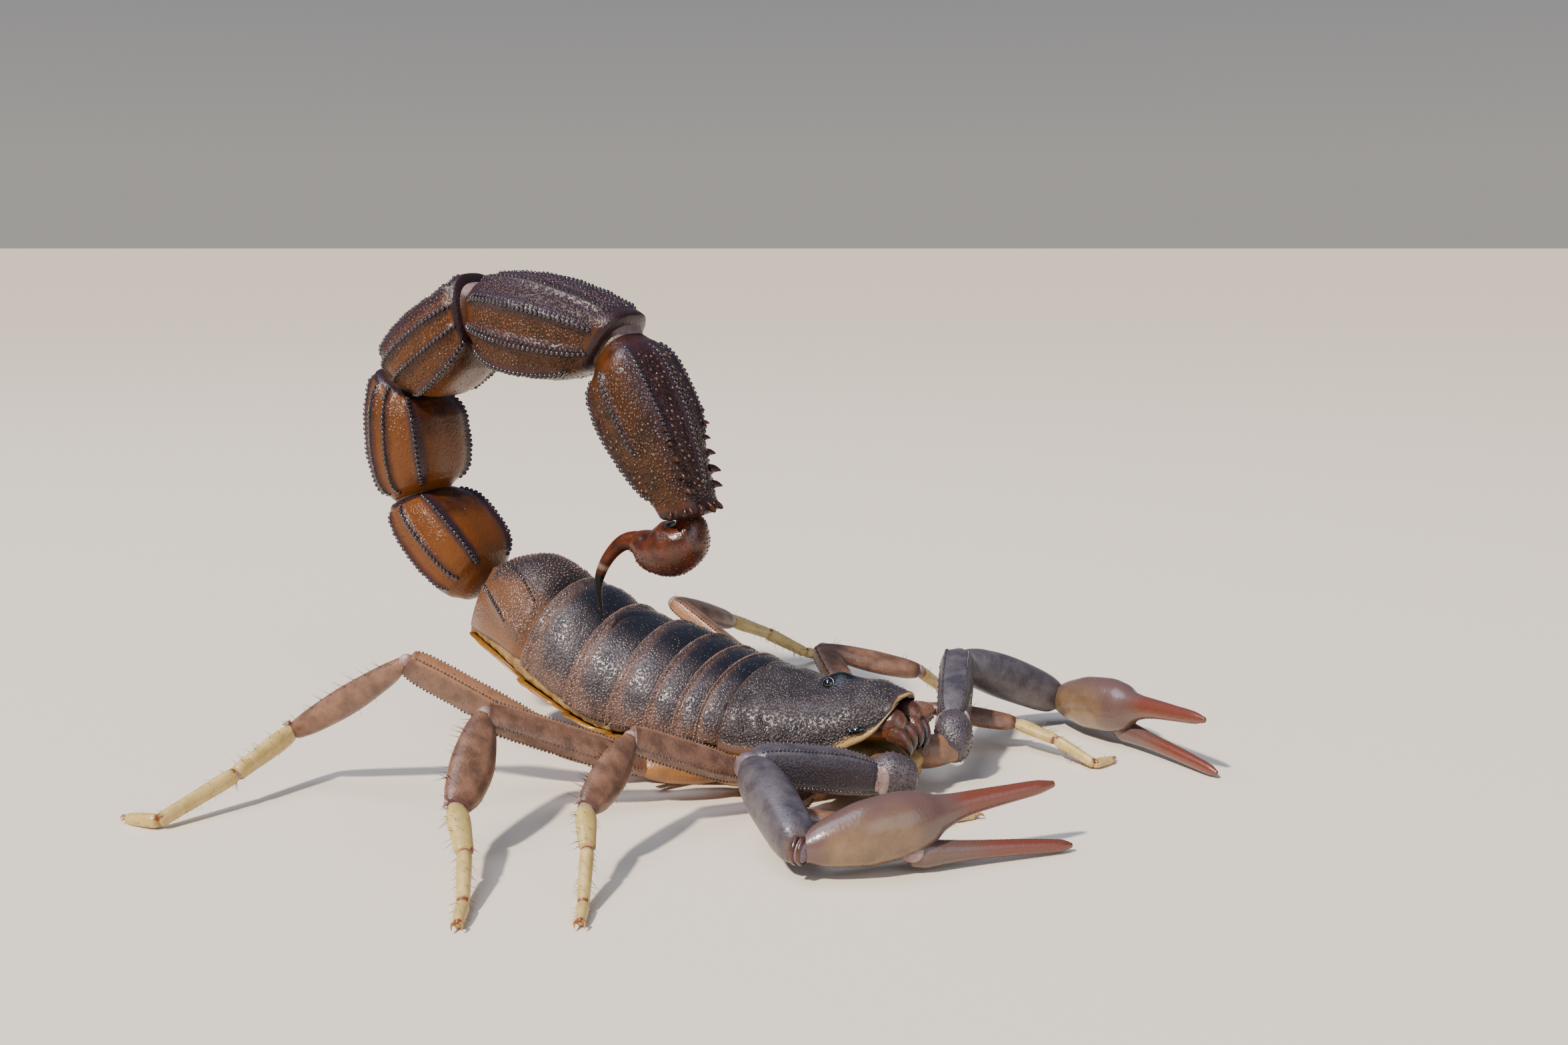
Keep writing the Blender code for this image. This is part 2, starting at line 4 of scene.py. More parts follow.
import bpy
import numpy as np
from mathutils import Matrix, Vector

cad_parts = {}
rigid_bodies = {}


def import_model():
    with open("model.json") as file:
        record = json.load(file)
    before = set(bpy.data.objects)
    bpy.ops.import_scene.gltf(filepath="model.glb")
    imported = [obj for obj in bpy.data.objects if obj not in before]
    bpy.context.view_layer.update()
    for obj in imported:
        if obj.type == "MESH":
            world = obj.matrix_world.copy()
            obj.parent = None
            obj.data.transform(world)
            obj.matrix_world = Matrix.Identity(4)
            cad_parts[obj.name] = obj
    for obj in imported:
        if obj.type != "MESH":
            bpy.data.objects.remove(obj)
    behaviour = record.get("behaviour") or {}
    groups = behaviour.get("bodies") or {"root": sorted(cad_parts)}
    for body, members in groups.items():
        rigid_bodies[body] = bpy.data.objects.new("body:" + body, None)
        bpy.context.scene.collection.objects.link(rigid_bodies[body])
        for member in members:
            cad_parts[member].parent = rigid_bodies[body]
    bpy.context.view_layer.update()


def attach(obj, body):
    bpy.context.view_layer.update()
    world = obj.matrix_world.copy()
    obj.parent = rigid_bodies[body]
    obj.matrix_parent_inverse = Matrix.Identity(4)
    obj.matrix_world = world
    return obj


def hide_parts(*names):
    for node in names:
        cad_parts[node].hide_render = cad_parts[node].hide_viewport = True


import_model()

# Lengths are in millimetres until a mesh is made. The body frame has the middle of the carapace's
# front edge at x = 0, y = 0, the head along +X and the floor at z = 0.
baseMiddle = np.array((-17.94, -0.66, 0.0))
mm = 0.001
capRings = 4
splineSteps = 24  # between two points of a path
floorGap = 0.01
backPower, bellyPower = 0.82, 0.6  # how square the body's back and belly are across; 1 is an ellipse
upward = (0, 0, 1.0)
leftward = (0, 1.0, 0)
flanks = (("left", 1), ("right", -1))
pieces = []  # every finished piece with its slot and the solids it stands for


# ---- small tools

def through(knots, values, at):
    # a smooth curve through the rows that never overshoots them (monotone cubic)
    x, y, at = np.asarray(knots, float), np.asarray(values, float), np.asarray(at, float)
    if y.ndim == 1:
        return through(x, y[:, None], at)[..., 0]
    if x[0] > x[-1]:
        x, y = x[::-1], y[::-1]
    step = np.diff(x)[:, None]
    slope = np.diff(y, axis=0) / step
    bend = np.zeros_like(y)
    inner = slope[:-1] * slope[1:] > 0
    total = slope[:-1] + slope[1:]
    bend[1:-1] = np.where(inner, 2 * slope[:-1] * slope[1:] / np.where(inner, total, 1), 0)
    bend[0], bend[-1] = slope[0], slope[-1]
    i = np.clip(np.searchsorted(x, at, side="right") - 1, 0, len(x) - 2)
    t = np.clip((at - x[i]) / step[i, 0], 0, 1)[..., None]
    a, b = 2 * t**3 - 3 * t**2 + 1, 3 * t**2 - 2 * t**3
    c, d = t**3 - 2 * t**2 + t, t**3 - t**2
    return a * y[i] + b * y[i + 1] + (c * bend[i] + d * bend[i + 1]) * step[i]


def readRows(table, at):
    # a table whose first column is the place, read at other places
    table = np.asarray(table, float)
    return through(table[:, 0], table[:, 1:], at)


def runAlong(path):
    return np.concatenate([[0], np.cumsum(np.linalg.norm(np.diff(path, axis=0), axis=1))])


def splineThrough(path, shares):
    # a rounded path through points (Catmull-Rom), read at shares of its length
    path = np.asarray(path, float)
    full = np.vstack([2 * path[0] - path[1], path, 2 * path[-1] - path[-2]])
    made = []
    for i in range(len(path) - 1):
        p0, p1, p2, p3 = full[i:i + 4]
        for t in np.linspace(0, 1, splineSteps, endpoint=i == len(path) - 2):
            made.append(0.5 * (2 * p1 + (p2 - p0) * t + (2 * p0 - 5 * p1 + 4 * p2 - p3) * t**2
                               + (3 * p1 - p0 - 3 * p2 + p3) * t**3))
    made = np.array(made)
    run = runAlong(made)
    return np.stack([np.interp(np.asarray(shares) * run[-1], run, made[:, k]) for k in range(3)], -1)


def unit(vector):
    vector = np.asarray(vector, float)
    return vector / np.maximum(np.linalg.norm(vector, axis=-1, keepdims=True), 1e-9)


def smoothStep(low, high, at):
    t = np.clip((np.asarray(at, float) - low) / (high - low), 0, 1)
    return t * t * (3 - 2 * t)


def turnsRound(count, full=2 * pi):
    return np.linspace(0, full, count, endpoint=False)


def offBack(angle):
    # degrees from the middle of the back, the same on both sides
    return np.abs((angle + 180) % 360 - 180)


def roundedBox(turn, power):
    # sine, cosine and reach of a closed curve between an ellipse (2) and a box (large powers)
    side, rise = np.sin(turn), np.cos(turn)
    return side, rise, (np.abs(side) ** power + np.abs(rise) ** power) ** (-1 / power)


def domed(grid, near=0.0, far=0.0, steps=capRings):
    # adds rings that close each end of a swept form with a rounded cap of the given height
    parts = [grid]
    for end, height in ((0, near), (-1, far)):
        if not height:
            continue
        ring, inner = grid[end], grid[1 if end == 0 else -2]
        middle = ring.mean(0)
        outward = unit(middle - inner.mean(0))
        turns = np.linspace(0, pi / 2, steps + 1)[1:]
        cap = [middle + (ring - middle) * max(cos(turn), 0.03) + outward * height * sin(turn) for turn in turns]
        parts = [np.array(cap[::-1])] + parts if end == 0 else parts + [np.array(cap)]
    return np.concatenate(parts)


def overCaps(values, near=capRings, far=capRings, bare=False):
    # a mark carried on over the rings that domed adds, or left off them
    values = np.asarray(values, float)
    values = values[:, None] if values.ndim == 1 else values
    return np.pad(values, ((near, far), (0, 0)), mode="constant" if bare else "edge")


def onFloor(grid):
    # what would reach into the floor lies flat on it
    return np.dstack([grid[..., :2], np.maximum(grid[..., 2], floorGap)])


def meshPiece(name, points, faces, marks=None, edges=()):
    mesh = bpy.data.meshes.new(name)
    mesh.from_pydata(((np.asarray(points) - baseMiddle) * mm).tolist(), list(edges), faces)
    for key, values in (marks or {}).items():
        values = np.asarray(values, np.float32)
        kind, field = ("FLOAT_VECTOR", "vector") if values.ndim == 2 else ("FLOAT", "value")
        mesh.attributes.new(key, kind, "POINT").data.foreach_set(field, values.ravel())
    mesh.shade_smooth()
    made = bpy.data.objects.new(name, mesh)
    bpy.context.scene.collection.objects.link(made)
    return made


def sweptForm(name, grid, marks, closed=True):
    # one closed skin over rings of points; each end is shut with a fan
    rings, sides = grid.shape[:2]
    points = grid.reshape(-1, 3)
    faces = []
    for i in range(rings - 1):
        a, b = i * sides, (i + 1) * sides
        faces += [(a + j, a + (j + 1) % sides, b + (j + 1) % sides, b + j) for j in range(sides)]
    values = {key: np.broadcast_to(mark, (rings, sides)).reshape(-1) for key, mark in marks.items()}
    if closed:
        first, last = len(points), len(points) + 1
        points = np.vstack([points, grid[0].mean(0), grid[-1].mean(0)])
        end = (rings - 1) * sides
        faces += [(first, (j + 1) % sides, j) for j in range(sides)]
        faces += [(last, end + j, end + (j + 1) % sides) for j in range(sides)]
        values = {key: np.append(mark, (mark[:sides].mean(), mark[-sides:].mean()))
                  for key, mark in values.items()}
    a, b, c = (points[[face[k] for face in faces]] for k in (0, 1, 2))
    if np.einsum("ij,ij->i", a - points.mean(0), np.cross(b - a, c - a)).sum() < 0:
        faces = [face[::-1] for face in faces]
    return meshPiece(name, points, faces, values)


def keep(piece, slot, material=None, *nodes):
    # the piece's finish, set here, kept with its slot and the solids it stands for; at the end the piece goes on the
    # body and its solids are hidden
    if material:
        piece.data.materials.clear()
        piece.data.materials.append(material)
    pieces.append((piece, slot, nodes))
    return piece


def shell(name, grid, slot, finish, *nodes, closed=True, **marks):
    # a swept form kept as a finished piece; marks are the named weights that its material reads
    return keep(sweptForm(name, grid, marks, closed), slot, skin[finish], *nodes)


def ball(centre, radii, axis, rings=14, sides=24):
    # an ellipsoid with its long way along an axis
    axis = unit(axis)
    wide = unit(np.cross(axis, (0.3, 0.9, 0.2)))
    deep = np.cross(axis, wide)
    lat = np.linspace(-pi / 2, pi / 2, rings)[1:-1]
    turn = turnsRound(sides)
    return (np.array(centre) + axis * (radii[2] * np.sin(lat))[:, None, None]
            + wide * (radii[0] * np.cos(lat)[:, None] * np.cos(turn))[..., None]
            + deep * (radii[1] * np.cos(lat)[:, None] * np.sin(turn))[..., None])


def roundRim(centre, axis, wide, radius, thick, ahead, tall):
    # a bent bar that runs once round an axis and meets itself
    turn, roll = np.append(turnsRound(40), 0)[:, None, None], turnsRound(10)[:, None]
    out = np.asarray(wide) * np.cos(turn) + np.cross(axis, wide) * np.sin(turn)
    return np.asarray(centre) + out * (radius + thick * np.cos(roll)) + axis * (ahead + tall * np.sin(roll))


def sweep(path, girth, rings, sides, across=leftward, fromTop=False):
    # an oval tube along a rounded path; girth gives width and height, at the points of the path or, with three
    # columns, at shares of its length
    path, girth, across = np.asarray(path, float), np.asarray(girth, float), np.asarray(across)
    if girth.shape[1] == 2:
        run = runAlong(path)
        girth = np.column_stack([run / run[-1], girth])
    shares = np.linspace(0, 1, rings)
    line, size = splineThrough(path, shares), readRows(girth, shares)
    ahead = unit(np.gradient(line, axis=0))
    wide = unit(across - ahead * (ahead @ across)[:, None])
    turn = pi / 2 - turnsRound(sides) if fromTop else turnsRound(sides)
    return (line[:, None] + wide[:, None] * (size[:, :1] / 2 * np.cos(turn))[..., None]
            + np.cross(wide, ahead)[:, None] * (size[:, 1:] / 2 * np.sin(turn))[..., None]), line


def joined(name, parts):
    # several meshes of one finish as one piece
    context = {"active_object": parts[0], "object": parts[0], "selected_objects": parts,
               "selected_editable_objects": parts}
    with bpy.context.temp_override(**context):
        bpy.ops.object.join()
    parts[0].name = name
    return parts[0]


# ---- node trees

def addNode(tree, kind, inputs=None, **settings):
    node = tree.nodes.new(kind)
    for key, value in settings.items():
        setattr(node, key, value)
    for key, value in (inputs or {}).items():
        if isinstance(value, bpy.types.NodeSocket):
            tree.links.new(value, node.inputs[key])
        else:
            node.inputs[key].default_value = value
    return node


def calc(tree, operation, *terms):
    return addNode(tree, "ShaderNodeMath", dict(enumerate(terms)), operation=operation).outputs[0]


def named(tree, name, kind="FLOAT"):
    return addNode(tree, "GeometryNodeInputNamedAttribute", {"Name": name}, data_type=kind).outputs["Attribute"]


def chance(tree, low, high, seed):
    return addNode(tree, "FunctionNodeRandomValue", {2: low, 3: high, "Seed": seed}, data_type="FLOAT").outputs[1]


def standing(tree):
    # the turn that stands a form on its point's "outward" direction
    outward = named(tree, "outward", "FLOAT_VECTOR")
    return addNode(tree, "FunctionNodeAlignRotationToVector", {"Vector": outward}, axis="Z").outputs[0]


def newTree(name, *labels):
    tree = bpy.data.node_groups.new(name, "GeometryNodeTree")
    for way in ("OUTPUT", "INPUT"):
        tree.interface.new_socket("Geometry", in_out=way, socket_type="NodeSocketGeometry")
    for label in (*labels, "Seed", "Material"):
        kind = {"Seed": "Int", "Material": "Material"}.get(label, "Float")
        tree.interface.new_socket(label, in_out="INPUT", socket_type="NodeSocket" + kind)
    return tree, addNode(tree, "NodeGroupInput").outputs


def shutTree(tree, given, points, shape, turn, scale):
    # the shape on every point, made real, smooth and painted
    placed = addNode(tree, "GeometryNodeInstanceOnPoints",
                     {"Points": points, "Instance": shape, "Rotation": turn, "Scale": scale})
    real = addNode(tree, "GeometryNodeRealizeInstances", {"Geometry": placed.outputs[0]})
    smooth = addNode(tree, "GeometryNodeSetShadeSmooth", {"Geometry": real.outputs[0]})
    painted = addNode(tree, "GeometryNodeSetMaterial", {"Geometry": smooth.outputs[0], "Material": given["Material"]})
    addNode(tree, "NodeGroupOutput", {"Geometry": painted.outputs[0]})
    return tree


def shutGrains(tree, given, points, turn, size, detail):
    # round grains whose height is set apart from their width
    scale = addNode(tree, "ShaderNodeCombineXYZ", {0: size, 1: size, 2: calc(tree, "MULTIPLY", size, given["Height"])})
    grain = addNode(tree, "GeometryNodeMeshIcoSphere", {"Radius": 0.5, "Subdivisions": detail})
    return shutTree(tree, given, points, grain.outputs[0], turn, scale.outputs[0])


def granuleField():
    # rounded granules spread evenly over a surface, thinned by its "grain" attribute
    tree, given = newTree("granule field", "Spacing", "Size", "Height")
    grain = named(tree, "grain")
    most = calc(tree, "DIVIDE", 6.0, calc(tree, "POWER", given["Spacing"], 2.0))
    spread = addNode(tree, "GeometryNodeDistributePointsOnFaces",
                     {"Mesh": given["Geometry"], "Distance Min": given["Spacing"], "Density Max": most,
                      "Density Factor": grain, "Seed": given["Seed"]}, distribute_method="POISSON")
    size = calc(tree, "MULTIPLY", calc(tree, "MULTIPLY", chance(tree, 0.6, 1.25, 3), given["Size"]),
                calc(tree, "MULTIPLY_ADD", grain, 0.5, 0.5))
    return shutGrains(tree, given, spread.outputs["Points"], spread.outputs["Rotation"], size, 1)


def beadRows():
    # beads along lines, each standing on its line's "outward" direction
    tree, given = newTree("bead rows", "Spacing", "Size", "Height")
    wire = addNode(tree, "GeometryNodeMeshToCurve", {"Mesh": given["Geometry"]})
    even = addNode(tree, "GeometryNodeResampleCurve", {"Curve": wire.outputs[0], "Length": given["Spacing"]},
                   mode="LENGTH")
    size = calc(tree, "MULTIPLY", calc(tree, "MULTIPLY", named(tree, "beadSize"), given["Size"]),
                chance(tree, 0.8, 1.15, given["Seed"]))
    return shutGrains(tree, given, even.outputs[0], standing(tree), size, 2)


def bristles():
    # tapered, slightly bent hairs, one on each point, leaning along its "outward" direction
    tree, given = newTree("bristles", "Thickness", "Bend")
    spine = addNode(tree, "GeometryNodeMeshCone",
                    {"Vertices": 4, "Side Segments": 4, "Radius Top": 0.002, "Radius Bottom": given["Thickness"],
                     "Depth": 1.0})
    place = addNode(tree, "GeometryNodeInputPosition")
    high = addNode(tree, "ShaderNodeSeparateXYZ", {0: place.outputs[0]}).outputs[2]
    bend = calc(tree, "MULTIPLY", calc(tree, "POWER", high, 2.0), given["Bend"])
    offset = addNode(tree, "ShaderNodeCombineXYZ", {0: bend})
    bent = addNode(tree, "GeometryNodeSetPosition", {"Geometry": spine.outputs[0], "Offset": offset.outputs[0]})
    cloud = addNode(tree, "GeometryNodeMeshToPoints", {"Mesh": given["Geometry"]})
    return shutTree(tree, given, cloud.outputs[0], bent.outputs[0], standing(tree), named(tree, "beadSize"))


def grown(name, host, tree, values, slot, finish, removeHost=False):
    # runs a tree over a copy of the host and keeps the result as a plain mesh of its own
    carrier = bpy.data.objects.new(name + "Carrier", host.data)
    bpy.context.scene.collection.objects.link(carrier)
    modifier = carrier.modifiers.new(name, "NODES")
    modifier.node_group = tree
    values = {**values, "Material": skin[finish]}
    for item in tree.interface.items_tree:
        if item.in_out == "INPUT" and item.name in values:
            modifier[item.identifier] = values[item.name]
    graph = bpy.context.evaluated_depsgraph_get()
    mesh = bpy.data.meshes.new_from_object(carrier.evaluated_get(graph))
    bpy.data.objects.remove(carrier)
    if removeHost:
        bpy.data.objects.remove(host)
    made = bpy.data.objects.new(name, mesh)
    mesh.name = name
    bpy.context.scene.collection.objects.link(made)
    return keep(made, slot)


granuleTree, beadTree, bristleTree = granuleField(), beadRows(), bristles()


def grains(spacing, size, height, seed):
    return {"Spacing": spacing * mm, "Size": size * mm, "Height": height, "Seed": seed}


def granules(name, host, slot, finish, *look):
    # look is spacing and size in mm, height as a share of the size, and seed
    grown(name, host, granuleTree, grains(*look), slot, finish)


def beaded(name, lines, slot, finish, *look):
    # beads along polylines, given as (points, outward, bead size along the line); look as for granules
    points, outward, sizes, edges = [], [], [], []
    for line, out, big in lines:
        edges += [(i, i + 1) for i in range(len(points), len(points) + len(line) - 1)]
        points += list(line)
        outward += list(unit(out))
        sizes += list(np.broadcast_to(big, len(line)))
    host = meshPiece(name + "Lines", np.array(points), [],
                     {"outward": np.array(outward), "beadSize": np.array(sizes)}, edges)
    grown(name, host, beadTree, grains(*look), slot, finish, removeHost=True)


# ---- materials

def hexColour(code):
    # an sRGB hex value as linear red, green, blue and alpha
    parts = [int(code[i:i + 2], 16) / 255 for i in (1, 3, 5)]
    return (*[c / 12.92 if c <= 0.04045 else ((c + 0.055) / 1.055) ** 2.4 for c in parts], 1.0)


def noise(tree, place, sizeMm, detail, rough):
    return addNode(tree, "ShaderNodeTexNoise", {"Vector": place, "Scale": 1000 / sizeMm, "Detail": detail,
                                                "Roughness": rough}).outputs[0]


def remap(tree, value, low, high, least=0.0, most=1.0, **settings):
    return addNode(tree, "ShaderNodeMapRange", {0: value, 1: low, 2: high, 3: least, 4: most}, **settings).outputs[0]


def blend(tree, weight, first, second):
    return addNode(tree, "ShaderNodeMix", {0: weight, 6: first, 7: second}, data_type="RGBA").outputs[2]


def weightOf(tree, mark):
    return addNode(tree, "ShaderNodeAttribute", attribute_name=mark).outputs["Fac"]


chitinIndex = 1.56
scatter = {"radius": (1.0, 0.45, 0.2), "scale": 0.0012}  # how far light goes inside, most of all red; scale in metres
# what a finish has unless it says otherwise: sizes of its mottle and grain in mm, bump, gloss of the wax
usual = {"mottleMm": 1.2, "grainMm": 0.2, "bump": 0.1, "shine": 0.5, "coatRough": 0.14, "glow": 0, "shagreenMm": 0,
         "shagreen": 0.85, "marks": {}}


def cuticle(name, given):
    # Scorpion cuticle: layered chitin, tanned darker where it is thick, with a thin waxy outer layer.
    # The wax gives a tight highlight over softly mottled, slightly see-through colour.
    look = {**usual, **given}
    material = bpy.data.materials.new(name)
    material.use_nodes = True
    tree = material.node_tree
    shader = tree.nodes["Principled BSDF"]
    place = addNode(tree, "ShaderNodeTexCoord").outputs["Object"]
    mottle = noise(tree, place, look["mottleMm"], 4.0, 0.6)
    fine = noise(tree, place, look["grainMm"], 3.0, 0.55)
    deep = hexColour(look["deep"])
    colour = blend(tree, remap(tree, mottle, 0.36, 0.64), deep, hexColour(look["base"]))
    for mark, shade in look["marks"].items():
        # the mottle makes the mark's edge ragged
        weight = weightOf(tree, mark)
        ragged = calc(tree, "MULTIPLY_ADD", calc(tree, "SUBTRACT", mottle, 0.5), 1.2, weight)
        colour = blend(tree, remap(tree, calc(tree, "MULTIPLY", weight, ragged), 0.0, 0.85), colour, hexColour(shade))
    height = calc(tree, "MULTIPLY_ADD", mottle, 0.6, fine)
    bump = addNode(tree, "ShaderNodeBump", {"Strength": look["bump"], "Distance": look["grainMm"] * mm * 0.6,
                                            "Height": height}).outputs[0]
    if look["shagreenMm"]:
        # close-set granules too fine to model one by one; each is a low dome, with painted shade darkening the furrow
        # round it
        cells = addNode(tree, "ShaderNodeTexVoronoi", {"Vector": place, "Scale": 1000 / look["shagreenMm"],
                                                       "Randomness": 0.85}).outputs["Distance"]
        dome = remap(tree, cells, 0.62, 0.12, interpolation_type="SMOOTHSTEP")
        grain = weightOf(tree, "grain")
        bump = addNode(tree, "ShaderNodeBump", {"Strength": look["shagreen"], "Distance": look["shagreenMm"] * mm * 0.5,
                                                "Height": calc(tree, "MULTIPLY", dome, grain),
                                                "Normal": bump}).outputs[0]
        # painted shade: the colour is pulled towards the deep tone in the furrows between the granules
        furrow = calc(tree, "MULTIPLY", calc(tree, "MULTIPLY", remap(tree, dome, 0.5, 0.0), grain), 0.65)
        colour = blend(tree, furrow, colour, deep)
    for socket, value in (("Base Color", colour), ("Roughness", remap(tree, fine, 0.3, 0.7, *look["rough"])),
                          ("Normal", bump), ("Coat Normal", bump)):
        tree.links.new(value, shader.inputs[socket])
    for socket, value in (("IOR", chitinIndex), ("Specular IOR Level", look["shine"]), ("Coat Weight", look["coat"]),
                          ("Coat Roughness", look["coatRough"]), ("Subsurface Weight", look["glow"]),
                          ("Subsurface Radius", scatter["radius"]), ("Subsurface Scale", scatter["scale"])):
        shader.inputs[socket].default_value = value
    return material


membrane = {"deep": "#7d6260", "base": "#a58d88", "mottleMm": 0.8, "grainMm": 0.15, "bump": 0.6, "rough": (0.35, 0.5),
            "coat": 0.2, "glow": 0.2}
# the granules' base is paler than the plates': partly their own colour and partly a painted highlight standing in for
# glints on their tips
trunkGrain = {"deep": "#453b3c", "base": "#6b5c5b", "mottleMm": 1.6, "rough": (0.12, 0.18), "coat": 1.0,
              "coatRough": 0.08}
limbGrain = {"mottleMm": 1.0, "grainMm": 0.15}
finishes = {
    "trunkCuticle": {"deep": "#322b2e", "base": "#5a4f50", "mottleMm": 1.6, "grainMm": 0.22, "bump": 0.35,
                     "rough": (0.24, 0.34), "shine": 0.4, "coat": 0.26, "coatRough": 0.16, "shagreenMm": 0.2,
                     "shagreen": 0.55, "marks": {"midline": "#15171f", "amber": "#704a30", "rim": "#7d5844"}},
    "trunkGranules": trunkGrain,
    "amberGranules": {**trunkGrain, "deep": "#574038", "base": "#86614c"},
    "tailCuticle": {"deep": "#221105", "base": "#48260e", "mottleMm": 1.5, "grainMm": 0.25, "bump": 0.45,
                    "rough": (0.26, 0.38), "shine": 0.2, "coat": 0.14, "coatRough": 0.08, "glow": 0.08,
                    "shagreenMm": 0.26, "marks": {"amber": "#6d3d14", "dusk": "#33212a", "rim": "#2b1a1c"}},
    "tailGranules": {"deep": "#120b0d", "base": "#2a1d1f", "rough": (0.16, 0.24), "coat": 0.8, "coatRough": 0.05},
    # paler than the tail's own faces: partly a painted highlight, so that each granule reads as a bright speck
    "faceGranules": {"deep": "#3d281c", "base": "#644531", "rough": (0.14, 0.2), "coat": 1.0, "coatRough": 0.11},
    "telsonCuticle": {"deep": "#35170a", "base": "#5a2a12", "bump": 0.3, "rough": (0.20, 0.30), "shine": 0.4,
                      "coat": 0.25, "glow": 0.06},
    "needleCuticle": {"deep": "#35170a", "base": "#5a2a12", "bump": 0.2, "rough": (0.26, 0.34), "shine": 0.2,
                      "coat": 0.05, "marks": {"crust": "#8d7a68", "needle": "#040303"}},
    "membrane": membrane,
    "hinge": {**membrane, "rough": (0.3, 0.45), "coat": 0.3, "marks": {"tan": "#3c2010"}},
    "softJoint": {**membrane, "deep": "#54454d", "base": "#75626a", "glow": 0.1},
    "pleura": {"deep": "#866434", "base": "#ad9150", "mottleMm": 1.0, "bump": 0.8, "rough": (0.4, 0.55), "coat": 0.1,
               "glow": 0.15, "marks": {"tan": "#7a4d20"}},
    "belly": {"deep": "#7f5014", "base": "#a17226", "mottleMm": 1.6, "grainMm": 0.25, "bump": 0.25,
              "rough": (0.24, 0.36), "coat": 0.4, "glow": 0.1, "marks": {"gold": "#8d5f1c", "rim": "#5f3512"}},
    "headCuticle": {"deep": "#2b2425", "base": "#4c4242", "mottleMm": 1.6, "grainMm": 0.22, "bump": 0.4,
                    "rough": (0.28, 0.38), "shine": 0.35, "coat": 0.16, "shagreenMm": 0.21,
                    "marks": {"midline": "#1b1c25", "rim": "#5c3f30", "pale": "#b4915c", "eyeHill": "#06080e"}},
    "tubercleCuticle": {"deep": "#090b12", "base": "#161b24", "mottleMm": 1.0, "bump": 0.3, "rough": (0.2, 0.3),
                        "coat": 0.5},
    "jawCuticle": {"deep": "#341d18", "base": "#523127", "bump": 0.3, "rough": (0.2, 0.32), "coat": 0.45, "glow": 0.1,
                   "marks": {"tan": "#7d4a24", "tip": "#140806"}},
    "legCuticle": {"deep": "#5c4131", "base": "#825e4a", "mottleMm": 1.3, "bump": 0.4, "rough": (0.34, 0.46),
                   "coat": 0.15, "glow": 0.08, "marks": {"gold": "#9c641f", "rose": "#a1714f", "rim": "#472315"}},
    "legGranules": {**limbGrain, "deep": "#33221c", "base": "#503930", "rough": (0.18, 0.28), "coat": 0.4},
    "paleCuticle": {"deep": "#b39a55", "base": "#cdb371", "bump": 0.3, "rough": (0.34, 0.48), "coat": 0.15,
                    "glow": 0.2, "marks": {"rust": "#7a3d18"}},
    "palpCuticle": {"deep": "#3a353c", "base": "#5a5458", "mottleMm": 1.5, "bump": 0.35, "rough": (0.34, 0.44),
                    "coat": 0.15, "shagreenMm": 0.2, "shagreen": 0.5,
                    "marks": {"plum": "#2f2329", "amber": "#6b3a14"}},
    "palpGranules": {**limbGrain, "deep": "#211d22", "base": "#3f383c", "rough": (0.14, 0.22), "coat": 0.5},
    "handCuticle": {"deep": "#69503a", "base": "#84694b", "mottleMm": 1.8, "grainMm": 0.25, "bump": 0.14,
                    "rough": (0.24, 0.34), "coat": 0.3, "glow": 0.08,
                    "marks": {"mauve": "#604842", "red": "#6c382a", "rust": "#4a2615"}},
    "denticle": {"deep": "#3a140d", "base": "#56211a", "mottleMm": 1.0, "bump": 0.0, "rough": (0.2, 0.3), "coat": 0.4},
    "bristle": {"deep": "#4d2510", "base": "#70401f", "mottleMm": 2.0, "grainMm": 0.5, "bump": 0.0,
                "rough": (0.35, 0.45), "coat": 0.1},
    "lens": {"deep": "#020203", "base": "#050507", "mottleMm": 2.0, "grainMm": 1.0, "bump": 0.0,
             "rough": (0.03, 0.05), "coat": 1.0},
}
skin = {name: cuticle(name, look) for name, look in finishes.items()}
print("materials made")


# ---- trunk

# x, z of a tergite's side edge, half width, height above the edge, depth below it, forward lean in degrees
trunkRows = np.array((
    (-12.3, 3.9, 6.8, 5.1, 0.2, 6), (-14.3, 4.1, 7.1, 5.15, 0.4, 7), (-16.4, 4.1, 7.2, 5.6, 0.4, 8),
    (-19.0, 4.1, 7.3, 6.45, 0.7, 10), (-22.7, 4.2, 7.2, 7.2, 1.5, 12), (-27.0, 5.5, 6.9, 6.95, 2.0, 14),
    (-29.2, 6.55, 6.5, 7.1, 2.35, 16), (-32.0, 7.9, 6.0, 6.55, 2.8, 18), (-33.2, 8.45, 5.8, 7.1, 2.6, 18),
    (-35.3, 9.15, 5.2, 7.1, 2.1, 16), (-37.6, 9.6, 4.4, 6.35, 1.5, 15), (-39.5, 9.85, 3.3, 5.2, 1.0, 14)))
plateEnds = (-12.3, -14.3, -16.4, -19.0, -22.7, -27.0, -32.0, -39.5)
tergite = {"tuck": 0.6, "wall": 0.34, "swell": 0.34, "granules": (0.27, 0.19, 0.7), "beads": (0.25, 0.2, 1.0, 9),
           "edgeGap": 0.02, "around": 100}


def trunkPoint(x, turn, lift=0.0):
    # a point of the back (turn 0 at the left edge to pi at the right) or, past pi, of the belly
    row = readRows(trunkRows, x)
    edge, half, above, below, lean = (row[..., k] for k in range(5))
    side, rise = np.cos(turn), np.sin(turn)
    reach = np.where(rise >= 0, (above + lift) * np.abs(rise) ** backPower,
                     -(below + lift) * np.abs(rise) ** bellyPower)
    lean = np.radians(lean)
    return np.stack([x + np.sin(lean) * reach, (half + lift) * side, edge + np.cos(lean) * reach], -1)


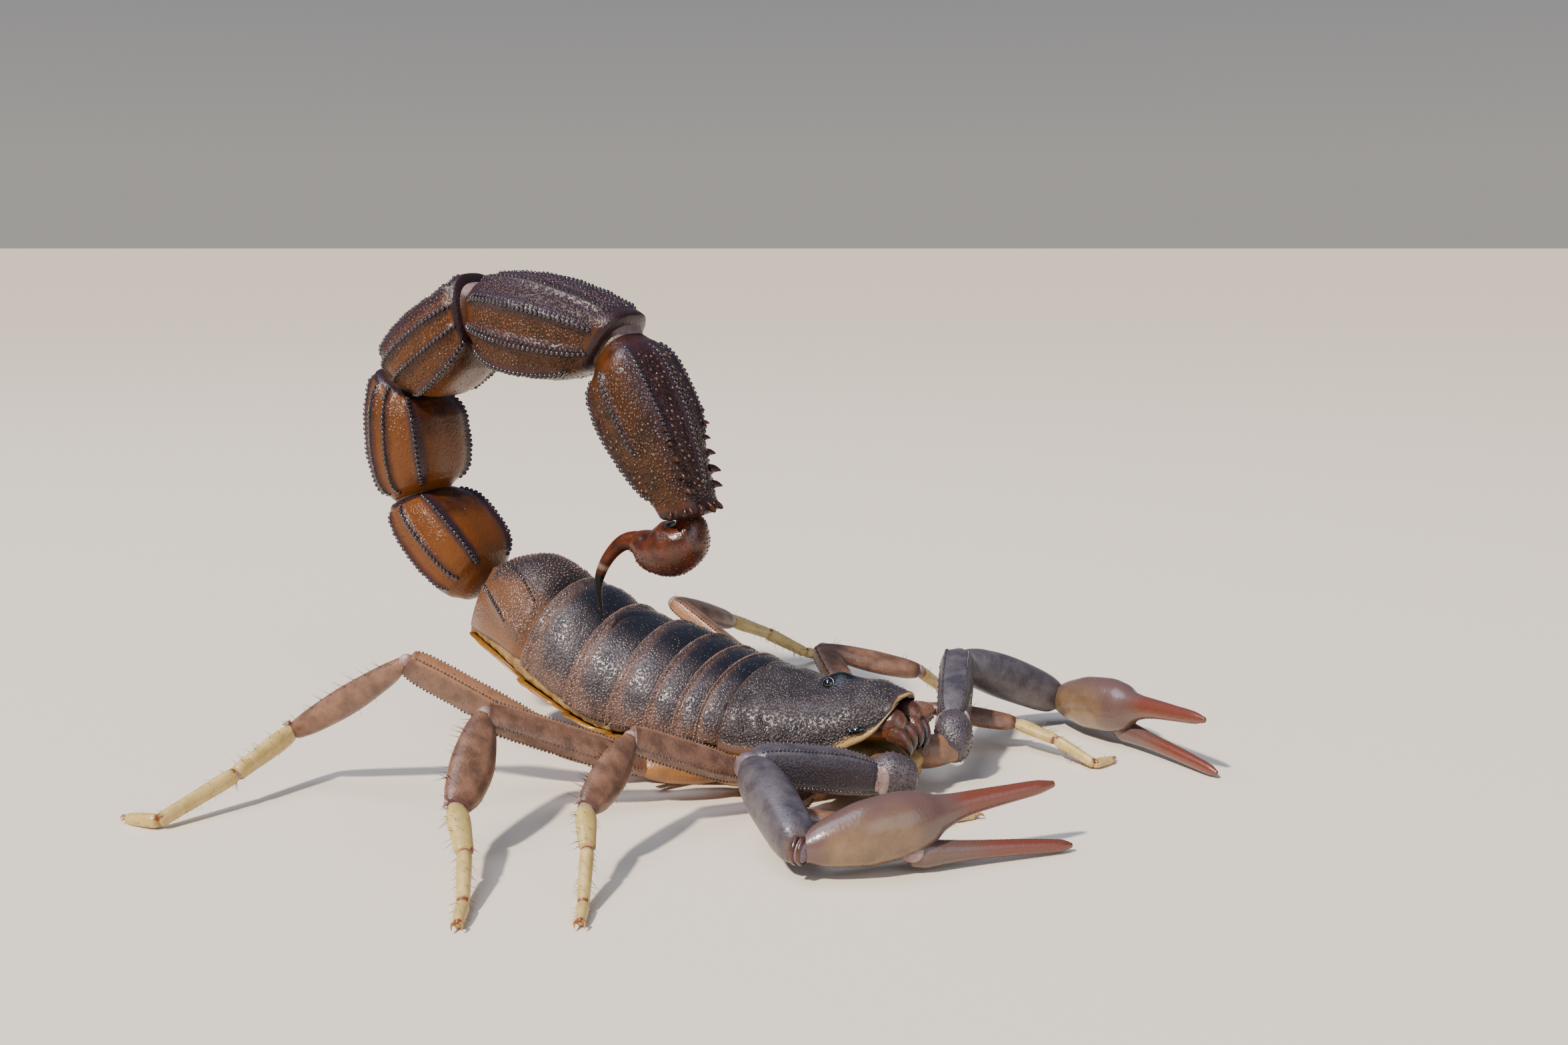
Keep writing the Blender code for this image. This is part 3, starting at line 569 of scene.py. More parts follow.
def bodyPlate(front, rear, turns, swell, wall, back=26, under=8):
    # one overlapping plate carried over the body: sunk in front, swollen behind its middle, with a bead along
    # the rear margin; gives its grid and, for its marks, share of its length, turn and height over the body line
    share = np.linspace(0, 1, back)
    outer = np.stack([front + (rear - front) * share,
                      through((0, 0.10, 0.25, 0.5, 0.74, 0.86, 0.93, 0.97, 1.0),
                              swell * np.array((-0.95, -0.7, 0.0, 0.75, 0.95, 0.72, 1.15, 1.2, 0.9)), share)], -1)
    share = np.linspace(1, 0, under)
    inner = np.stack([front + (rear - front) * (share * 0.985), -wall - swell * 0.6 + swell * share], -1)
    loop = np.concatenate([outer, [[rear + (rear - front) * 0.01, swell * 0.2]], inner])
    t, x = np.meshgrid(turns, loop[:, 0], indexing="ij")
    lift = np.broadcast_to(loop[:, 1], x.shape)
    return trunkPoint(x, t, lift), (x - front) / (rear - front), t, lift


turns = np.linspace(tergite["edgeGap"], pi - tergite["edgeGap"], tergite["around"])
for number in range(6):
    rear = plateEnds[number + 1]
    grid, share, t, lift = bodyPlate(plateEnds[number] + (tergite["tuck"] if number else 0.1), rear, turns,
                                     tergite["swell"], tergite["wall"])
    rise = np.sin(t)
    # dense on the flanks and along the rear margin, smoother on the middle of the back, none on the tucked front
    grain = (np.clip(0.30 + 0.75 * (1 - np.abs(rise) ** 4) + 0.5 * smoothStep(0.8, 0.9, share), 0, 1)
             * (lift > -tergite["swell"]) * smoothStep(0.10, 0.22, share) * (share < 0.995))
    plate = shell(f"tergite{number + 1}", grid, "trunk_cuticle", "trunkCuticle", f"mesosoma_{number + 1}",
                  midline=smoothStep(0.62, 0.97, rise) * smoothStep(0.95, 0.8, share) * 0.95,
                  rim=np.clip(smoothStep(0.58, 0.84, share) * (1.0 - 0.6 * rise ** 4) * 0.85
                              + smoothStep(0.34, 0.08, rise) * 0.8, 0, 1),
                  amber=smoothStep(0.5, 0.1, rise) * (0.5 if number > 3 else 0.25), grain=grain)
    granules(f"tergiteGranules{number + 1}", plate, "trunk_cuticle", "trunkGranules", *tergite["granules"], number + 1)
    # a row of slightly larger granules along the rear margin
    t = np.linspace(0.06, pi - 0.06, 120)
    x = np.full(120, rear + 0.12)
    line = trunkPoint(x, t, tergite["swell"] * 1.12)
    beaded(f"rimBeads{number + 1}", [(line, line - trunkPoint(x, t, -1.0), 1.0)], "trunk_cuticle", "amberGranules",
           *tergite["beads"])

# the seventh tergite: a domed dark crown over orange-brown flanks that carry two granular keels on each side
lastPlate = {"wall": 0.42, "frontSunk": 0.35, "crown": 0.25, "keelHeight": 0.16, "keelWide": 0.07,
             "keels": (((-33.3, 0.72), (-34.5, 0.82), (-36.6, 1.00), (-38.4, 1.17)),
                       ((-35.0, 0.27), (-36.8, 0.42), (-38.3, 0.59), (-39.3, 0.70))),
             "granules": (0.31, 0.22, 0.75, 7), "beads": (0.40, 0.34, 1.1, 8)}


def lastPoint(x, t):
    # the plate's surface, with its ridges raised and its front margin sunk
    swell = (lastPlate["crown"] * smoothStep(-33.0, -35.0, x) * smoothStep(0.75, 0.95, np.sin(t))
             - lastPlate["frontSunk"] * smoothStep(-33.4, -32.0, x))
    for keel in lastPlate["keels"]:
        middle = readRows(keel, np.clip(x, keel[-1][0], keel[0][0]))[..., 0]
        for turned in (t, pi - t):
            ridge = np.exp(-((turned - middle) / lastPlate["keelWide"]) ** 2)
            swell = swell + lastPlate["keelHeight"] * ridge * smoothStep(-32.8, -33.6, x)
    return trunkPoint(x, t, swell)


rows = np.concatenate([np.linspace(-31.7, -33.4, 14), np.linspace(-33.5, -39.2, 50), np.linspace(-39.28, -39.5, 4)])
turns = np.linspace(tergite["edgeGap"], pi - tergite["edgeGap"], 110)
x, t = np.meshgrid(rows, turns, indexing="ij")
inner = trunkPoint(x, t, -lastPlate["wall"] - lastPlate["frontSunk"] * smoothStep(-33.4, -32.0, x))
crown = smoothStep(0.62, 0.9, np.sin(t)) * smoothStep(-39.4, -38.4, x)
grain = (np.clip(0.45 + 0.5 * crown + 0.4 * smoothStep(-35.5, -33.5, x), 0, 1)
         * smoothStep(-32.1, -32.9, x) * smoothStep(0.06, 0.2, np.sin(t)))
marks = {key: np.concatenate([values, np.zeros(x.shape)], axis=1) for key, values in (
    ("midline", crown * 0.75), ("amber", np.clip(1.15 - crown, 0, 1)), ("grain", grain))}
plate = shell("tergite7", np.concatenate([lastPoint(x, t), inner[:, ::-1]], axis=1), "trunk_cuticle", "trunkCuticle",
              "mesosoma_7", **marks)
granules("tergiteGranules7", plate, "trunk_cuticle", "amberGranules", *lastPlate["granules"])
lines = []
for keel in lastPlate["keels"]:
    x = np.linspace(keel[0][0], keel[-1][0], 60)
    turned = readRows(keel, x)[:, 0]
    for t in (turned, pi - turned):
        line = lastPoint(x, t)
        lines.append((line, line - trunkPoint(x, t, -1.5), 1.0))
beaded("tergiteKeels7", lines, "trunk_cuticle", "tailGranules", *lastPlate["beads"])

# one soft skin under the plates: side folds and the hinges between the belly plates
skinFold = {"sunk": 0.42, "height": 0.10, "every": 1.1, "rearRise": 0.32}
x, t = np.meshgrid(np.linspace(-11.4, -39.3, 70), turnsRound(72), indexing="ij")
folds = skinFold["height"] * np.sin(x * 2 * pi / skinFold["every"]) * np.clip(1 - np.abs(np.sin(t)) * 2, 0, 1)
shell("trunkSkin", trunkPoint(x, t, folds - skinFold["sunk"] + skinFold["rearRise"] * smoothStep(-38.7, -39.2, x)),
      "underside", "pleura", tan=smoothStep(-30, -38, x) * 0.6)

# belly plates: five sternites, the last one hard and narrow in front of the tail
sternites = {"ends": ((-16.6, -19.2), (-19.0, -22.9), (-22.7, -27.2), (-27.0, -32.2), (-32.0, -39.5)), "gap": 0.3,
             "side": 0.32, "swell": 0.16, "wall": 0.272}
turns = np.linspace(pi + sternites["side"], 2 * pi - sternites["side"], 60)
for number, (front, rear) in enumerate(sternites["ends"]):
    grid, share, t, lift = bodyPlate(front + sternites["gap"], rear, turns, sternites["swell"], sternites["wall"])
    shell(f"sternite{number + 3}", grid, "underside", "belly", rim=smoothStep(0.86, 0.97, share) * 0.6)
print("trunk made")


# ---- tail

tailJoints = np.array(((-33.0, 0, 10.6), (-40.3, 0, 13.2), (-46.8, -0.3, 20.5), (-47.2, -0.8, 30.8),
                       (-38.6, -1.5, 36.9), (-24.5, -1.9, 34.8), (-17.2, -2.6, 21.5), (-17.5, -2.7, 18.0)))
tailWidths = (8.6, 8.9, 9.2, 9.3, 8.4)
tailHeights = (7.1, 7.3, 7.7, 8.3, 7.0)
bulge = ((0.0, 0.60), (0.04, 0.68), (0.09, 0.81), (0.2, 0.93), (0.45, 1.0), (0.72, 0.97), (0.9, 0.87), (1.0, 0.72))
fourthBulge = ((0.0, 0.62), (0.04, 0.70), (0.09, 0.83), (0.2, 0.96), (0.45, 1.05), (0.72, 0.96), (0.9, 0.81),
               (1.0, 0.67))
lastBulge = ((0.0, 0.60), (0.05, 0.70), (0.10, 0.84), (0.22, 0.97), (0.42, 1.0), (0.66, 0.88), (0.86, 0.70),
             (1.0, 0.60))
bulges = (bulge, bulge, bulge, fourthBulge, lastBulge)
flares = (0.1, 0.3, 0.95, 0.35, 0.0)  # how far each segment's outer rear edge stands out over the next joint

# For each segment: how far its neck opens on the outer side of the bend, the finish of its faces, and its
# bead rows as (angle from the back in degrees at the near and far end, from share, to share, bead size).
segments = (
    {"open": 0.1, "amber": 1.0, "dusk": 0.25, "grain": 0.35, "rows": (
        (40, 47, 0.06, 0.97, 1.0), (84, 92, 0.08, 0.97, 1.0), (116, 128, 0.10, 0.95, 0.9), (158, 164, 0.2, 0.9, 0.6))},
    {"open": 0.3, "amber": 0.95, "dusk": 0.35, "grain": 0.45, "rows": (
        (44, 50, 0.08, 0.98, 1.0), (90, 86, 0.05, 0.98, 1.0), (116, 112, 0.06, 0.97, 0.9), (142, 138, 0.06, 0.97, 0.9),
        (168, 166, 0.1, 0.95, 0.8))},
    {"open": 0.9, "amber": 0.8, "dusk": 0.7, "grain": 0.65, "rows": (
        (46, 50, 0.05, 0.98, 1.0), (84, 78, 0.05, 0.97, 1.0), (112, 108, 0.06, 0.96, 1.0), (140, 136, 0.08, 0.96, 1.0),
        (166, 164, 0.1, 0.95, 0.9))},
    {"open": 0.75, "amber": 0.5, "dusk": 0.9, "grain": 0.75, "rows": (
        (46, 46, 0.05, 0.86, 1.2), (80, 74, 0.05, 0.97, 1.05), (85, 79, 0.08, 0.95, 0.8), (118, 112, 0.10, 0.93, 1.05),
        (123, 117, 0.12, 0.9, 0.8), (150, 148, 0.12, 0.93, 0.9), (172, 170, 0.12, 0.93, 0.8))},
    {"open": 0.7, "amber": 0.4, "dusk": 0.75, "grain": 0.7, "rows": (
        (50, 48, 0.10, 0.86, 1.1), (84, 88, 0.12, 0.62, 0.9), (138, 140, 0.10, 0.62, 1.0),
        (180, 180, 0.12, 0.86, 0.9))},
)
tailBeads = (0.42, 0.40, 1.2)  # spacing, size, height as a share of the size
tailShape = {"boxPower": 2.7, "keelWidth": 5.0, "keelHeight": 0.09, "furrow": 0.035, "dish": 0.05, "dishHalf": 60,
             "beadsSunk": 0.06, "turnShare": 0.3, "jointGap": 0.15, "openShare": 0.25,
             "granules": (0.31, 0.22, 0.9), "lastGranules": (0.50, 0.32, 0.9)}  # keel width, dish half in degrees


def tailRing(index, share):
    # middle and back direction of a tail section; sections turn to the plane of the joint near both ends
    before, start, end, after = tailJoints[index:index + 4]
    along = unit(end - start)
    first, last, middle = (unit(np.array((way[2], 0, -way[0]))) for way in (
        along + unit(start - before), along + unit(after - end), along))
    share = share[..., None]
    near, far = (np.clip(1 - gap / tailShape["turnShare"], 0, 1) for gap in (share, 1 - share))
    dorsal = middle + (first - middle) * near
    dorsal = unit(dorsal + (last - dorsal) * far)
    start, end = start + along * tailShape["jointGap"], end - along * tailShape["jointGap"]
    return start + (end - start) * share, dorsal, along


def keelRelief(index, share, angle):
    # ridges under the bead rows with shallow furrows between them, and a dished back
    turned = offBack(angle)
    dish = np.clip(np.cos(np.radians(turned) * 2), 0, 1) ** 2 * (turned < tailShape["dishHalf"])
    relief = -tailShape["furrow"] - tailShape["dish"] * dish
    ridge = np.zeros_like(turned)
    for near, far, begin, stop, size in segments[index]["rows"]:
        middle = near + (far - near) * share
        body = smoothStep(begin - 0.03, begin + 0.05, share) * smoothStep(stop + 0.03, stop - 0.04, share)
        ridge = np.maximum(ridge, np.exp(-((turned - middle) / tailShape["keelWidth"]) ** 2) * body * min(size, 1.0))
    relief = relief * smoothStep(0.03, 0.14, share) * smoothStep(1.0, 0.93, share)
    return relief + tailShape["keelHeight"] * ridge, ridge


def tailPoint(index, share, angle, lift=0.0):
    # angle 0 is the middle of the back and 90 the animal's right side
    share, angle = np.broadcast_arrays(np.asarray(share, float), np.asarray(angle, float))
    centre, dorsal, along = tailRing(index, share)
    swell = readRows(bulges[index], share)[..., 0]
    side, rise, reach = roundedBox(np.radians(angle), tailShape["boxPower"])
    relief, ridge = keelRelief(index, share, angle)
    reach = reach * (1 + relief)
    across = -(tailWidths[index] / 2 * swell + lift) * reach * side
    crest = flares[index] * smoothStep(0.84, 0.98, share) * smoothStep(-0.2, 0.9, -rise)
    up = (tailHeights[index] / 2 * swell + lift + crest) * reach * rise
    opened = segments[index]["open"] * (1 - rise) / 2 * np.clip(1 - share / tailShape["openShare"], 0, 1)
    return (centre + dorsal * up[..., None] + np.array(leftward) * across[..., None]
            + along * opened[..., None]), ridge, centre


shares = np.concatenate([np.linspace(0, 0.12, 12), np.linspace(0.14, 0.9, 44), np.linspace(0.915, 1.0, 10)])
share, angle = np.meshgrid(shares, turnsRound(168, 360), indexing="ij")
turned = offBack(angle)
smoothBack = smoothStep(44, 36, turned)
for index, look in enumerate(segments):
    early = index < 2
    grid, ridge, centre = tailPoint(index, share, angle)
    grain = (look["grain"] * (1 - smoothBack * (0.95 if index < 3 else 0.5)) * (1 - ridge)
             * smoothStep(0.10, 0.2, share) * smoothStep(0.97, 0.9, share))
    if early:
        grain = grain * (0.25 + 0.75 * smoothStep(0.25, 0.7, share))
    dusk = np.clip(ridge ** 0.35 * 0.85 + look["dusk"] * smoothStep(95, 140, turned)
                   + 0.5 * smoothStep(26, 36, turned) * smoothStep(50, 44, turned) * early, 0, 1) * 0.9
    amber = (look["amber"] * (1 - ridge * 0.6) * (0.5 + 0.5 * smoothStep(160, 110, turned))
             * (1 - smoothBack * smoothStep(0.45, 0.75, share) * 0.6))
    form = shell(f"tailSegment{index + 1}", domed(grid, 0.5, 0.5), "tail_cuticle", "tailCuticle",
                 f"metasoma_{index + 1}", amber=overCaps(amber), dusk=overCaps(dusk),
                 rim=overCaps(smoothStep(0.95, 0.985, share)), grain=overCaps(np.clip(grain, 0, 1), bare=True))
    granules(f"tailGranules{index + 1}", form, "tail_cuticle", "faceGranules",
             *tailShape["granules" if index < 4 else "lastGranules"], 20 + index)
    lines = []
    for near, far, begin, stop, size in look["rows"]:
        place = np.linspace(begin, stop, 60)
        for side in (1, -1) if near < 180 else (1,):
            line, _, middle = tailPoint(index, place, side * (near + (far - near) * place), -tailShape["beadsSunk"])
            lines.append((line, line - middle, size))
    beaded(f"tailBeads{index + 1}", lines, "tail_cuticle", "tailGranules", *tailBeads, index)

# the last segment's lower side keels end in a few large pointed spines, and ragged lobes stand round the vent
tailEnd = unit(tailJoints[6] - tailJoints[5])
spines = {"rows": ((0.50, 0.42), (0.575, 0.50), (0.65, 0.62), (0.73, 0.75), (0.81, 0.90), (0.885, 0.78)), "dusk": 0.45,
          "path": ((0, 0), (0.5, 0.1), (1.0, 0.45)), "girth": ((1.5, 1.1), (0.8, 0.7), (0.12, 0.12))}
made = []
for side in (1, -1):
    for share, size in spines["rows"]:
        foot, _, middle = tailPoint(4, share, side * (138 + 2 * share), -0.12)
        out = unit(foot - middle)
        path = [foot + out * size * outward + tailEnd * size * ahead for outward, ahead in spines["path"]]
        grid, _ = sweep(path, np.array(spines["girth"]) * size, 8, 12)
        made.append(sweptForm("spine", grid, {"dusk": spines["dusk"]}))
keep(joined("tailSpines", made), "tail_cuticle", skin["tailCuticle"])
lobes = {"angles": (84, 101, 118, 131, 149, 158, 176, 195, 209, 219, 238, 252, 271),
         "wide": (0.30, 0.18, 0.36, 0.24, 0.40, 0.20, 0.33, 0.27), "long": (1.5, 2.2, 1.3, 2.0, 1.6), "thick": 0.20}
for number, angle in enumerate(lobes["angles"]):
    spot, _, middle = tailPoint(4, 0.975, angle, -0.18)
    wide = lobes["wide"][number % 8]
    way = tailEnd + unit(spot - middle) * (0.35 + wide)
    radii = (wide, lobes["thick"], wide * lobes["long"][number % 5])
    shell(f"ventLobe{number + 1}", ball(spot + way * wide * 0.55, radii, way, 12, 18), "tail_cuticle", "tailCuticle",
          dusk=wide)

# soft hinges inside the joints, as (share, lift) rings: pale only where the outer side of a sharp bend opens
hinges = {"before": ((0.90, -0.75), (0.95, -0.75), (0.99, -0.55)), "after": ((0.03, -0.30), (0.08, -0.5), (0.13, -0.5))}
angle = turnsRound(60, 360)
for index in range(5):
    rings = [tailPoint(index - 1, share, angle, lift)[0] for share, lift in hinges["before"] if index]
    rings += [tailPoint(index, share, angle, lift)[0] for share, lift in hinges["after"]]
    shown = smoothStep(115, 150, offBack(angle)) * (index > 2)
    shell(f"tailHinge{index + 1}", np.array(rings), "underside", "hinge", tan=1.2 - shown)

telson = {"bulb": ((-17.35, -2.6, 21.3), (-17.3, -2.6, 20.4), (-17.7, -2.7, 19.4), (-18.9, -2.8, 18.6),
                   (-20.4, -3.0, 18.4), (-21.6, -3.2, 18.8), (-22.3, -3.3, 18.95)),
          "girth": ((2.0, 1.9), (3.2, 3.0), (4.4, 4.2), (4.8, 4.6), (4.1, 3.8), (2.7, 2.4), (1.7, 1.6)),
          "lowSide": (0.75, -0.15, -0.65), "granules": (0.34, 0.17, 0.9, 31),
          "needle": ((-21.5, -3.2, 18.75), (-22.3, -3.3, 18.95), (-23.2, -3.5, 18.75), (-24.2, -3.75, 17.8),
                     (-25.0, -3.95, 16.4), (-25.2, -4.2, 14.9), (-24.65, -4.5, 12.5)),
          "needleGirth": (2.2, 1.7, 1.35, 1.1, 0.9, 0.62, 0.12)}
grid, line = sweep(telson["bulb"], telson["girth"], 44, 64)
low = unit(grid - line[:, None]) @ unit(telson["lowSide"])
bulb = shell("vesicle", domed(grid, 0.3), "sting", "telsonCuticle", "vesicle",
             grain=smoothStep(0.05, 0.5, overCaps(low, far=0)))
granules("vesicleGranules", bulb, "sting", "telsonCuticle", *telson["granules"])
grid, _ = sweep(telson["needle"], [(size, size) for size in telson["needleGirth"]], 60, 28)
along = np.linspace(0, 1, 60)[:, None]
shell("aculeus", grid, "sting", "needleCuticle", "aculeus", needle=smoothStep(0.50, 0.62, along),
      crust=smoothStep(0.45, 0.49, along) * smoothStep(0.56, 0.51, along) * 0.75)
print("tail made")


# ---- head

# x, z of the side edge, half width, height above the edge, lean in degrees
headRows = np.array(((0.55, 7.6, 1.9, 0.6, 0), (0.4, 7.3, 2.3, 0.98, 0), (-0.8, 5.6, 3.4, 3.15, 0),
                     (-2.2, 4.8, 4.3, 4.2, 2), (-3.2, 4.25, 4.9, 4.55, 2), (-4.5, 4.1, 5.2, 4.35, 2),
                     (-5.5, 4.0, 5.5, 4.35, 3), (-6.7, 3.85, 5.9, 4.55, 3), (-8.4, 3.7, 6.3, 4.9, 4),
                     (-10.6, 3.6, 6.7, 5.35, 5), (-12.35, 3.8, 6.8, 5.3, 6)))
head = {"front": 0.55, "length": 12.9, "wall": 0.30, "notch": 0.45, "rim": 0.12, "granules": (0.27, 0.20, 0.75, 11),
        "hillX": -5.2, "hillLong": 2.2, "hillWide": 1.5, "hillTall": 1.0,
        # short slanting ridges: rear end, front end, turn at the rear and at the front
        "ticks": ((-7.6, -5.8, 0.43, 0.13), (-9.5, -8.2, 0.50, 0.16), (-11.2, -10.3, 0.55, 0.20)),
        "tickTall": 0.2, "tickWide": 0.045}
eyes = {"middle": (-5.48, 1.05, 8.55), "radius": 0.52, "sideSpots": (  # x, y, z, across, along
    (-1.62, 3.84, 6.04, 0.31, 0.58), (-2.05, 4.06, 5.92, 0.26, 0.30), (-1.25, 3.66, 6.12, 0.22, 0.26))}


def bell(value, width):
    return np.exp(-(value / width) ** 2)


def headPoint(x, turn, lift=0.0):
    # the head shield's outer face; turn runs from the left edge over the back to the right edge
    edge, half, above, lean = np.moveaxis(readRows(headRows, x), -1, 0)
    rise = np.abs(np.sin(turn))
    for rear, front, high, foot in head["ticks"]:
        line = high + (foot - high) * np.clip((x - rear) / (front - rear), 0, 1)
        lift = lift + head["tickTall"] * bell(np.minimum(turn, pi - turn) - line, head["tickWide"]) \
            * smoothStep(rear - 0.3, rear + 0.3, x) * smoothStep(front + 0.3, front - 0.3, x)
    y = (half + lift) * np.cos(turn)
    aside, along = y / head["hillWide"], (x - head["hillX"]) / head["hillLong"]
    relief = (
        head["hillTall"] * np.exp(-1.6 * (aside**2 + along**2))              # the hill that carries the middle eyes
        - 0.20 * bell(y, 0.35) * smoothStep(-7.6, -9.0, x)                   # furrow behind the eyes
        - 0.25 * bell(y, 2.2) * bell(x + 8.2, 1.2)
        - 0.22 * bell(x + 10.0 + 0.25 * np.abs(y), 0.30) * smoothStep(1.0, 2.2, np.abs(y))
        * smoothStep(5.9, 4.6, np.abs(y))                                    # slanting rear side furrows
        - 0.28 * bell(y, 0.8) * smoothStep(-1.4, 0.3, x))                    # dip at the front notch
    up = (above + lift) * rise ** backPower + relief * smoothStep(0.15, 0.5, rise)
    lean = np.radians(lean)
    front = -head["notch"] * bell(y, 0.7) * smoothStep(-1.8, 0.5, x)
    return np.stack([x + np.sin(lean) * up + front, y, edge + np.cos(lean) * up], -1)


share = np.concatenate([np.linspace(0, 0.08, 9), np.linspace(0.09, 1, 100)])
x, t = np.meshgrid(head["front"] - share * head["length"], np.linspace(0, pi, 150), indexing="ij")
rise = np.sin(t)
rim = np.maximum(smoothStep(0.09, 0.02, rise),
                 np.maximum(smoothStep(0.1, 0.4, x) * 0.5, smoothStep(-12.0, -12.25, x) * 0.7))
outer = headPoint(x, t, head["rim"] * rim)
furrow = bell(rise - 0.13, 0.035) * (x < -3.0)
outer[..., 2] += furrow * 0.10
outer[..., 1] *= 1 - 0.012 * furrow
inner = headPoint(x, t, -head["wall"] * (1 - 0.6 * smoothStep(-0.6, 0.4, x)))
middle = (outer + inner) / 2
ring = np.concatenate([middle[:, :1] + (0, 0.06, -0.12), outer, middle[:, -1:] + (0, -0.06, -0.12), inner[:, ::-1]],
                      axis=1)
fromHill = (headPoint(x, t)[..., 1], x + 5.1)
marks = {  # weights of the outer face and, after it, of the edges and the inner face
    "midline": (smoothStep(0.5, 1.0, rise) * 0.55
                + 0.45 * np.exp(-(((x + 5.7) / 1.8) ** 2 + (np.cos(t) * 3.4) ** 2)), 0),
    # the edges and the inner face take the full dark rim colour: painted shade where the shield's underside lies in
    # shadow
    "rim": (np.clip(rim + smoothStep(0.13, 0.04, rise) * 0.7, 0, 1), 1),
    "eyeHill": (np.exp(-sum((gap / 1.55) ** 2 for gap in fromHill) ** 2) * 1.2, 0),
    "pale": (np.clip(smoothStep(0.48, 0.54, x) + smoothStep(0.10, 0.02, rise) * smoothStep(-6.0, -3.2, x)
                     + smoothStep(0.20, 0.10, rise) * smoothStep(-3.6, -2.6, x) * smoothStep(-0.2, -0.9, x),
                     0, 1), 0.1),
    "grain": (np.clip(0.55 + 0.45 * (1 - rise ** 3), 0, 1) * smoothStep(0.05, 0.12, rise) * smoothStep(0.2, -0.1, x)
              * (1 - np.exp(-sum((gap / 1.5) ** 2 for gap in fromHill) ** 2)), 0)}
marks = {key: np.pad(values, ((0, 0), (1, 151)), constant_values=within) for key, (values, within) in marks.items()}
shield = shell("carapace", ring, "trunk_cuticle", "headCuticle", "carapace", **marks)
granules("carapaceGranules", shield, "trunk_cuticle", "trunkGranules", *head["granules"])

for name, side in flanks:
    middle, size = np.array(eyes["middle"]) * (1, side, 1), eyes["radius"]
    shell(f"eye_{name}_lens", ball(middle, (size, size, size), (0, side, 0.6), 22, 36), "eye", "lens", f"eye_{name}")
    lid = roundRim(middle, unit((0, side, 0.55)), (1.0, 0, 0), size * 0.93, 0.10, 0.12, 0.10)
    shell(f"eye_{name}_lid", lid, "trunk_cuticle", "tubercleCuticle", closed=False)
    for number, (x, y, z, across, along) in enumerate(eyes["sideSpots"]):
        shell(f"sideEye_{name}_{number + 1}", ball((x, y * side, z), (across, across, along), (1.0, -0.5 * side, 0.25)),
              "eye", "lens")

# pincers in front of the mouth: a stout hand with a fixed finger, and a movable finger beside it
jaw = {"hand": ((-3.6, 1.6, 5.3), (-2.2, 1.6, 5.7), (-0.9, 1.5, 6.0), (0.2, 1.45, 6.15), (0.75, 1.4, 5.95)),
       "handGirth": ((2.2, 1.6), (2.5, 2.1), (2.4, 2.55), (2.3, 2.65), (1.9, 2.1)),
       # path, girth and how far inwards the teeth point
       "Fixed": (((0.5, 0.95, 5.9), (1.3, 0.7, 5.4), (1.6, 0.65, 4.6), (1.45, 0.75, 3.8)),
                 ((1.3, 1.8), (1.05, 1.3), (0.75, 0.85), (0.15, 0.15)), 0.25),
       "Movable": (((0.4, 1.95, 5.7), (1.2, 1.95, 5.3), (1.7, 1.65, 4.5), (1.65, 1.25, 3.6)),
                   ((1.3, 1.8), (1.1, 1.35), (0.8, 0.85), (0.12, 0.12)), -0.45),
       "teeth": ((0.30, 0.45), (0.48, 0.55), (0.64, 0.42), (0.78, 0.36))}
for name, side in flanks:
    grid, line = sweep(np.array(jaw["hand"]) * (1, side, 1), jaw["handGirth"], 40, 48)
    high = unit(grid - line[:, None])[..., 2]
    tan = smoothStep(0.2, -0.6, high) + smoothStep(0.75, 1.0, np.linspace(0, 1, 40)[:, None]) * 0.5
    shell(f"jawHand_{name}", domed(grid, 0.3, 0.5), "chelicera", "jawCuticle", f"chelicera_{name}", tan=overCaps(tan))
    for finger in ("Fixed", "Movable"):
        path, girth, aside = jaw[finger]
        path = np.array(path) * (1, side, 1)
        dark = np.linspace(0, 1, 30)[:, None]
        shell(f"jaw{finger}_{name}", sweep(path, girth, 30, 26)[0], "chelicera", "jawCuticle",
              tip=smoothStep(0.35, 0.75, dark), tan=0.5 * (1 - dark))
        inward = unit((-0.75, side * aside, -0.65))
        for number, (place, size) in enumerate(jaw["teeth"]):
            at = splineThrough(path, [place])[0] + inward * (0.42 * (1 - place) + 0.12)
            shell(f"jawTooth{finger}{number + 1}_{name}", ball(at, (0.16, 0.16, size * 0.6), inward, 8, 10),
                  "chelicera", "jawCuticle", tip=1.0)
print("head made")


# ---- legs and pedipalps

def limbAxes(direction, hinge):
    across = unit(np.asarray(hinge) - direction * np.dot(hinge, direction))
    return across, np.cross(across, direction)


limbKeelWidth, endCrowding = 9.0, 0.6  # degrees; how far the rings crowd towards both ends


def limbForm(start, end, table, hinge, rings, sides, power, bow=0.0, keels=(), shift=0.0):
    # a straight or slightly bowed limb piece: table rows are share, width along the hinge, height across it;
    # keels are (angle from the outer edge in degrees, ridge height in mm)
    across, up = limbAxes(unit(end - start), hinge)
    crowded = (1 - np.cos(np.linspace(0, pi, rings))) / 2
    shares = crowded * endCrowding + np.linspace(0, 1, rings) * (1 - endCrowding)
    size = readRows(table, shares)
    turn = turnsRound(sides)
    side, rise, reach = roundedBox(turn, power)
    ridge = np.zeros((rings, sides))
    for angle, height in keels:
        ridge += height * np.exp(-(offBack(np.degrees(turn) - angle) / limbKeelWidth) ** 2) * (
            smoothStep(0.04, 0.14, shares) * smoothStep(1.0, 0.93, shares))[:, None]
    wide = (size[:, :1] / 2 * reach + ridge) * side
    tall = (size[:, 1:2] / 2 * reach + ridge) * rise
    lifted = bow * 4 * shares * (1 - shares) + shift * (size[:, 1] - size[:, 1].min())
    line = start + (end - start) * shares[:, None] + up * lifted[:, None]
    return line[:, None] + across * wide[..., None] + up * tall[..., None], line, shares


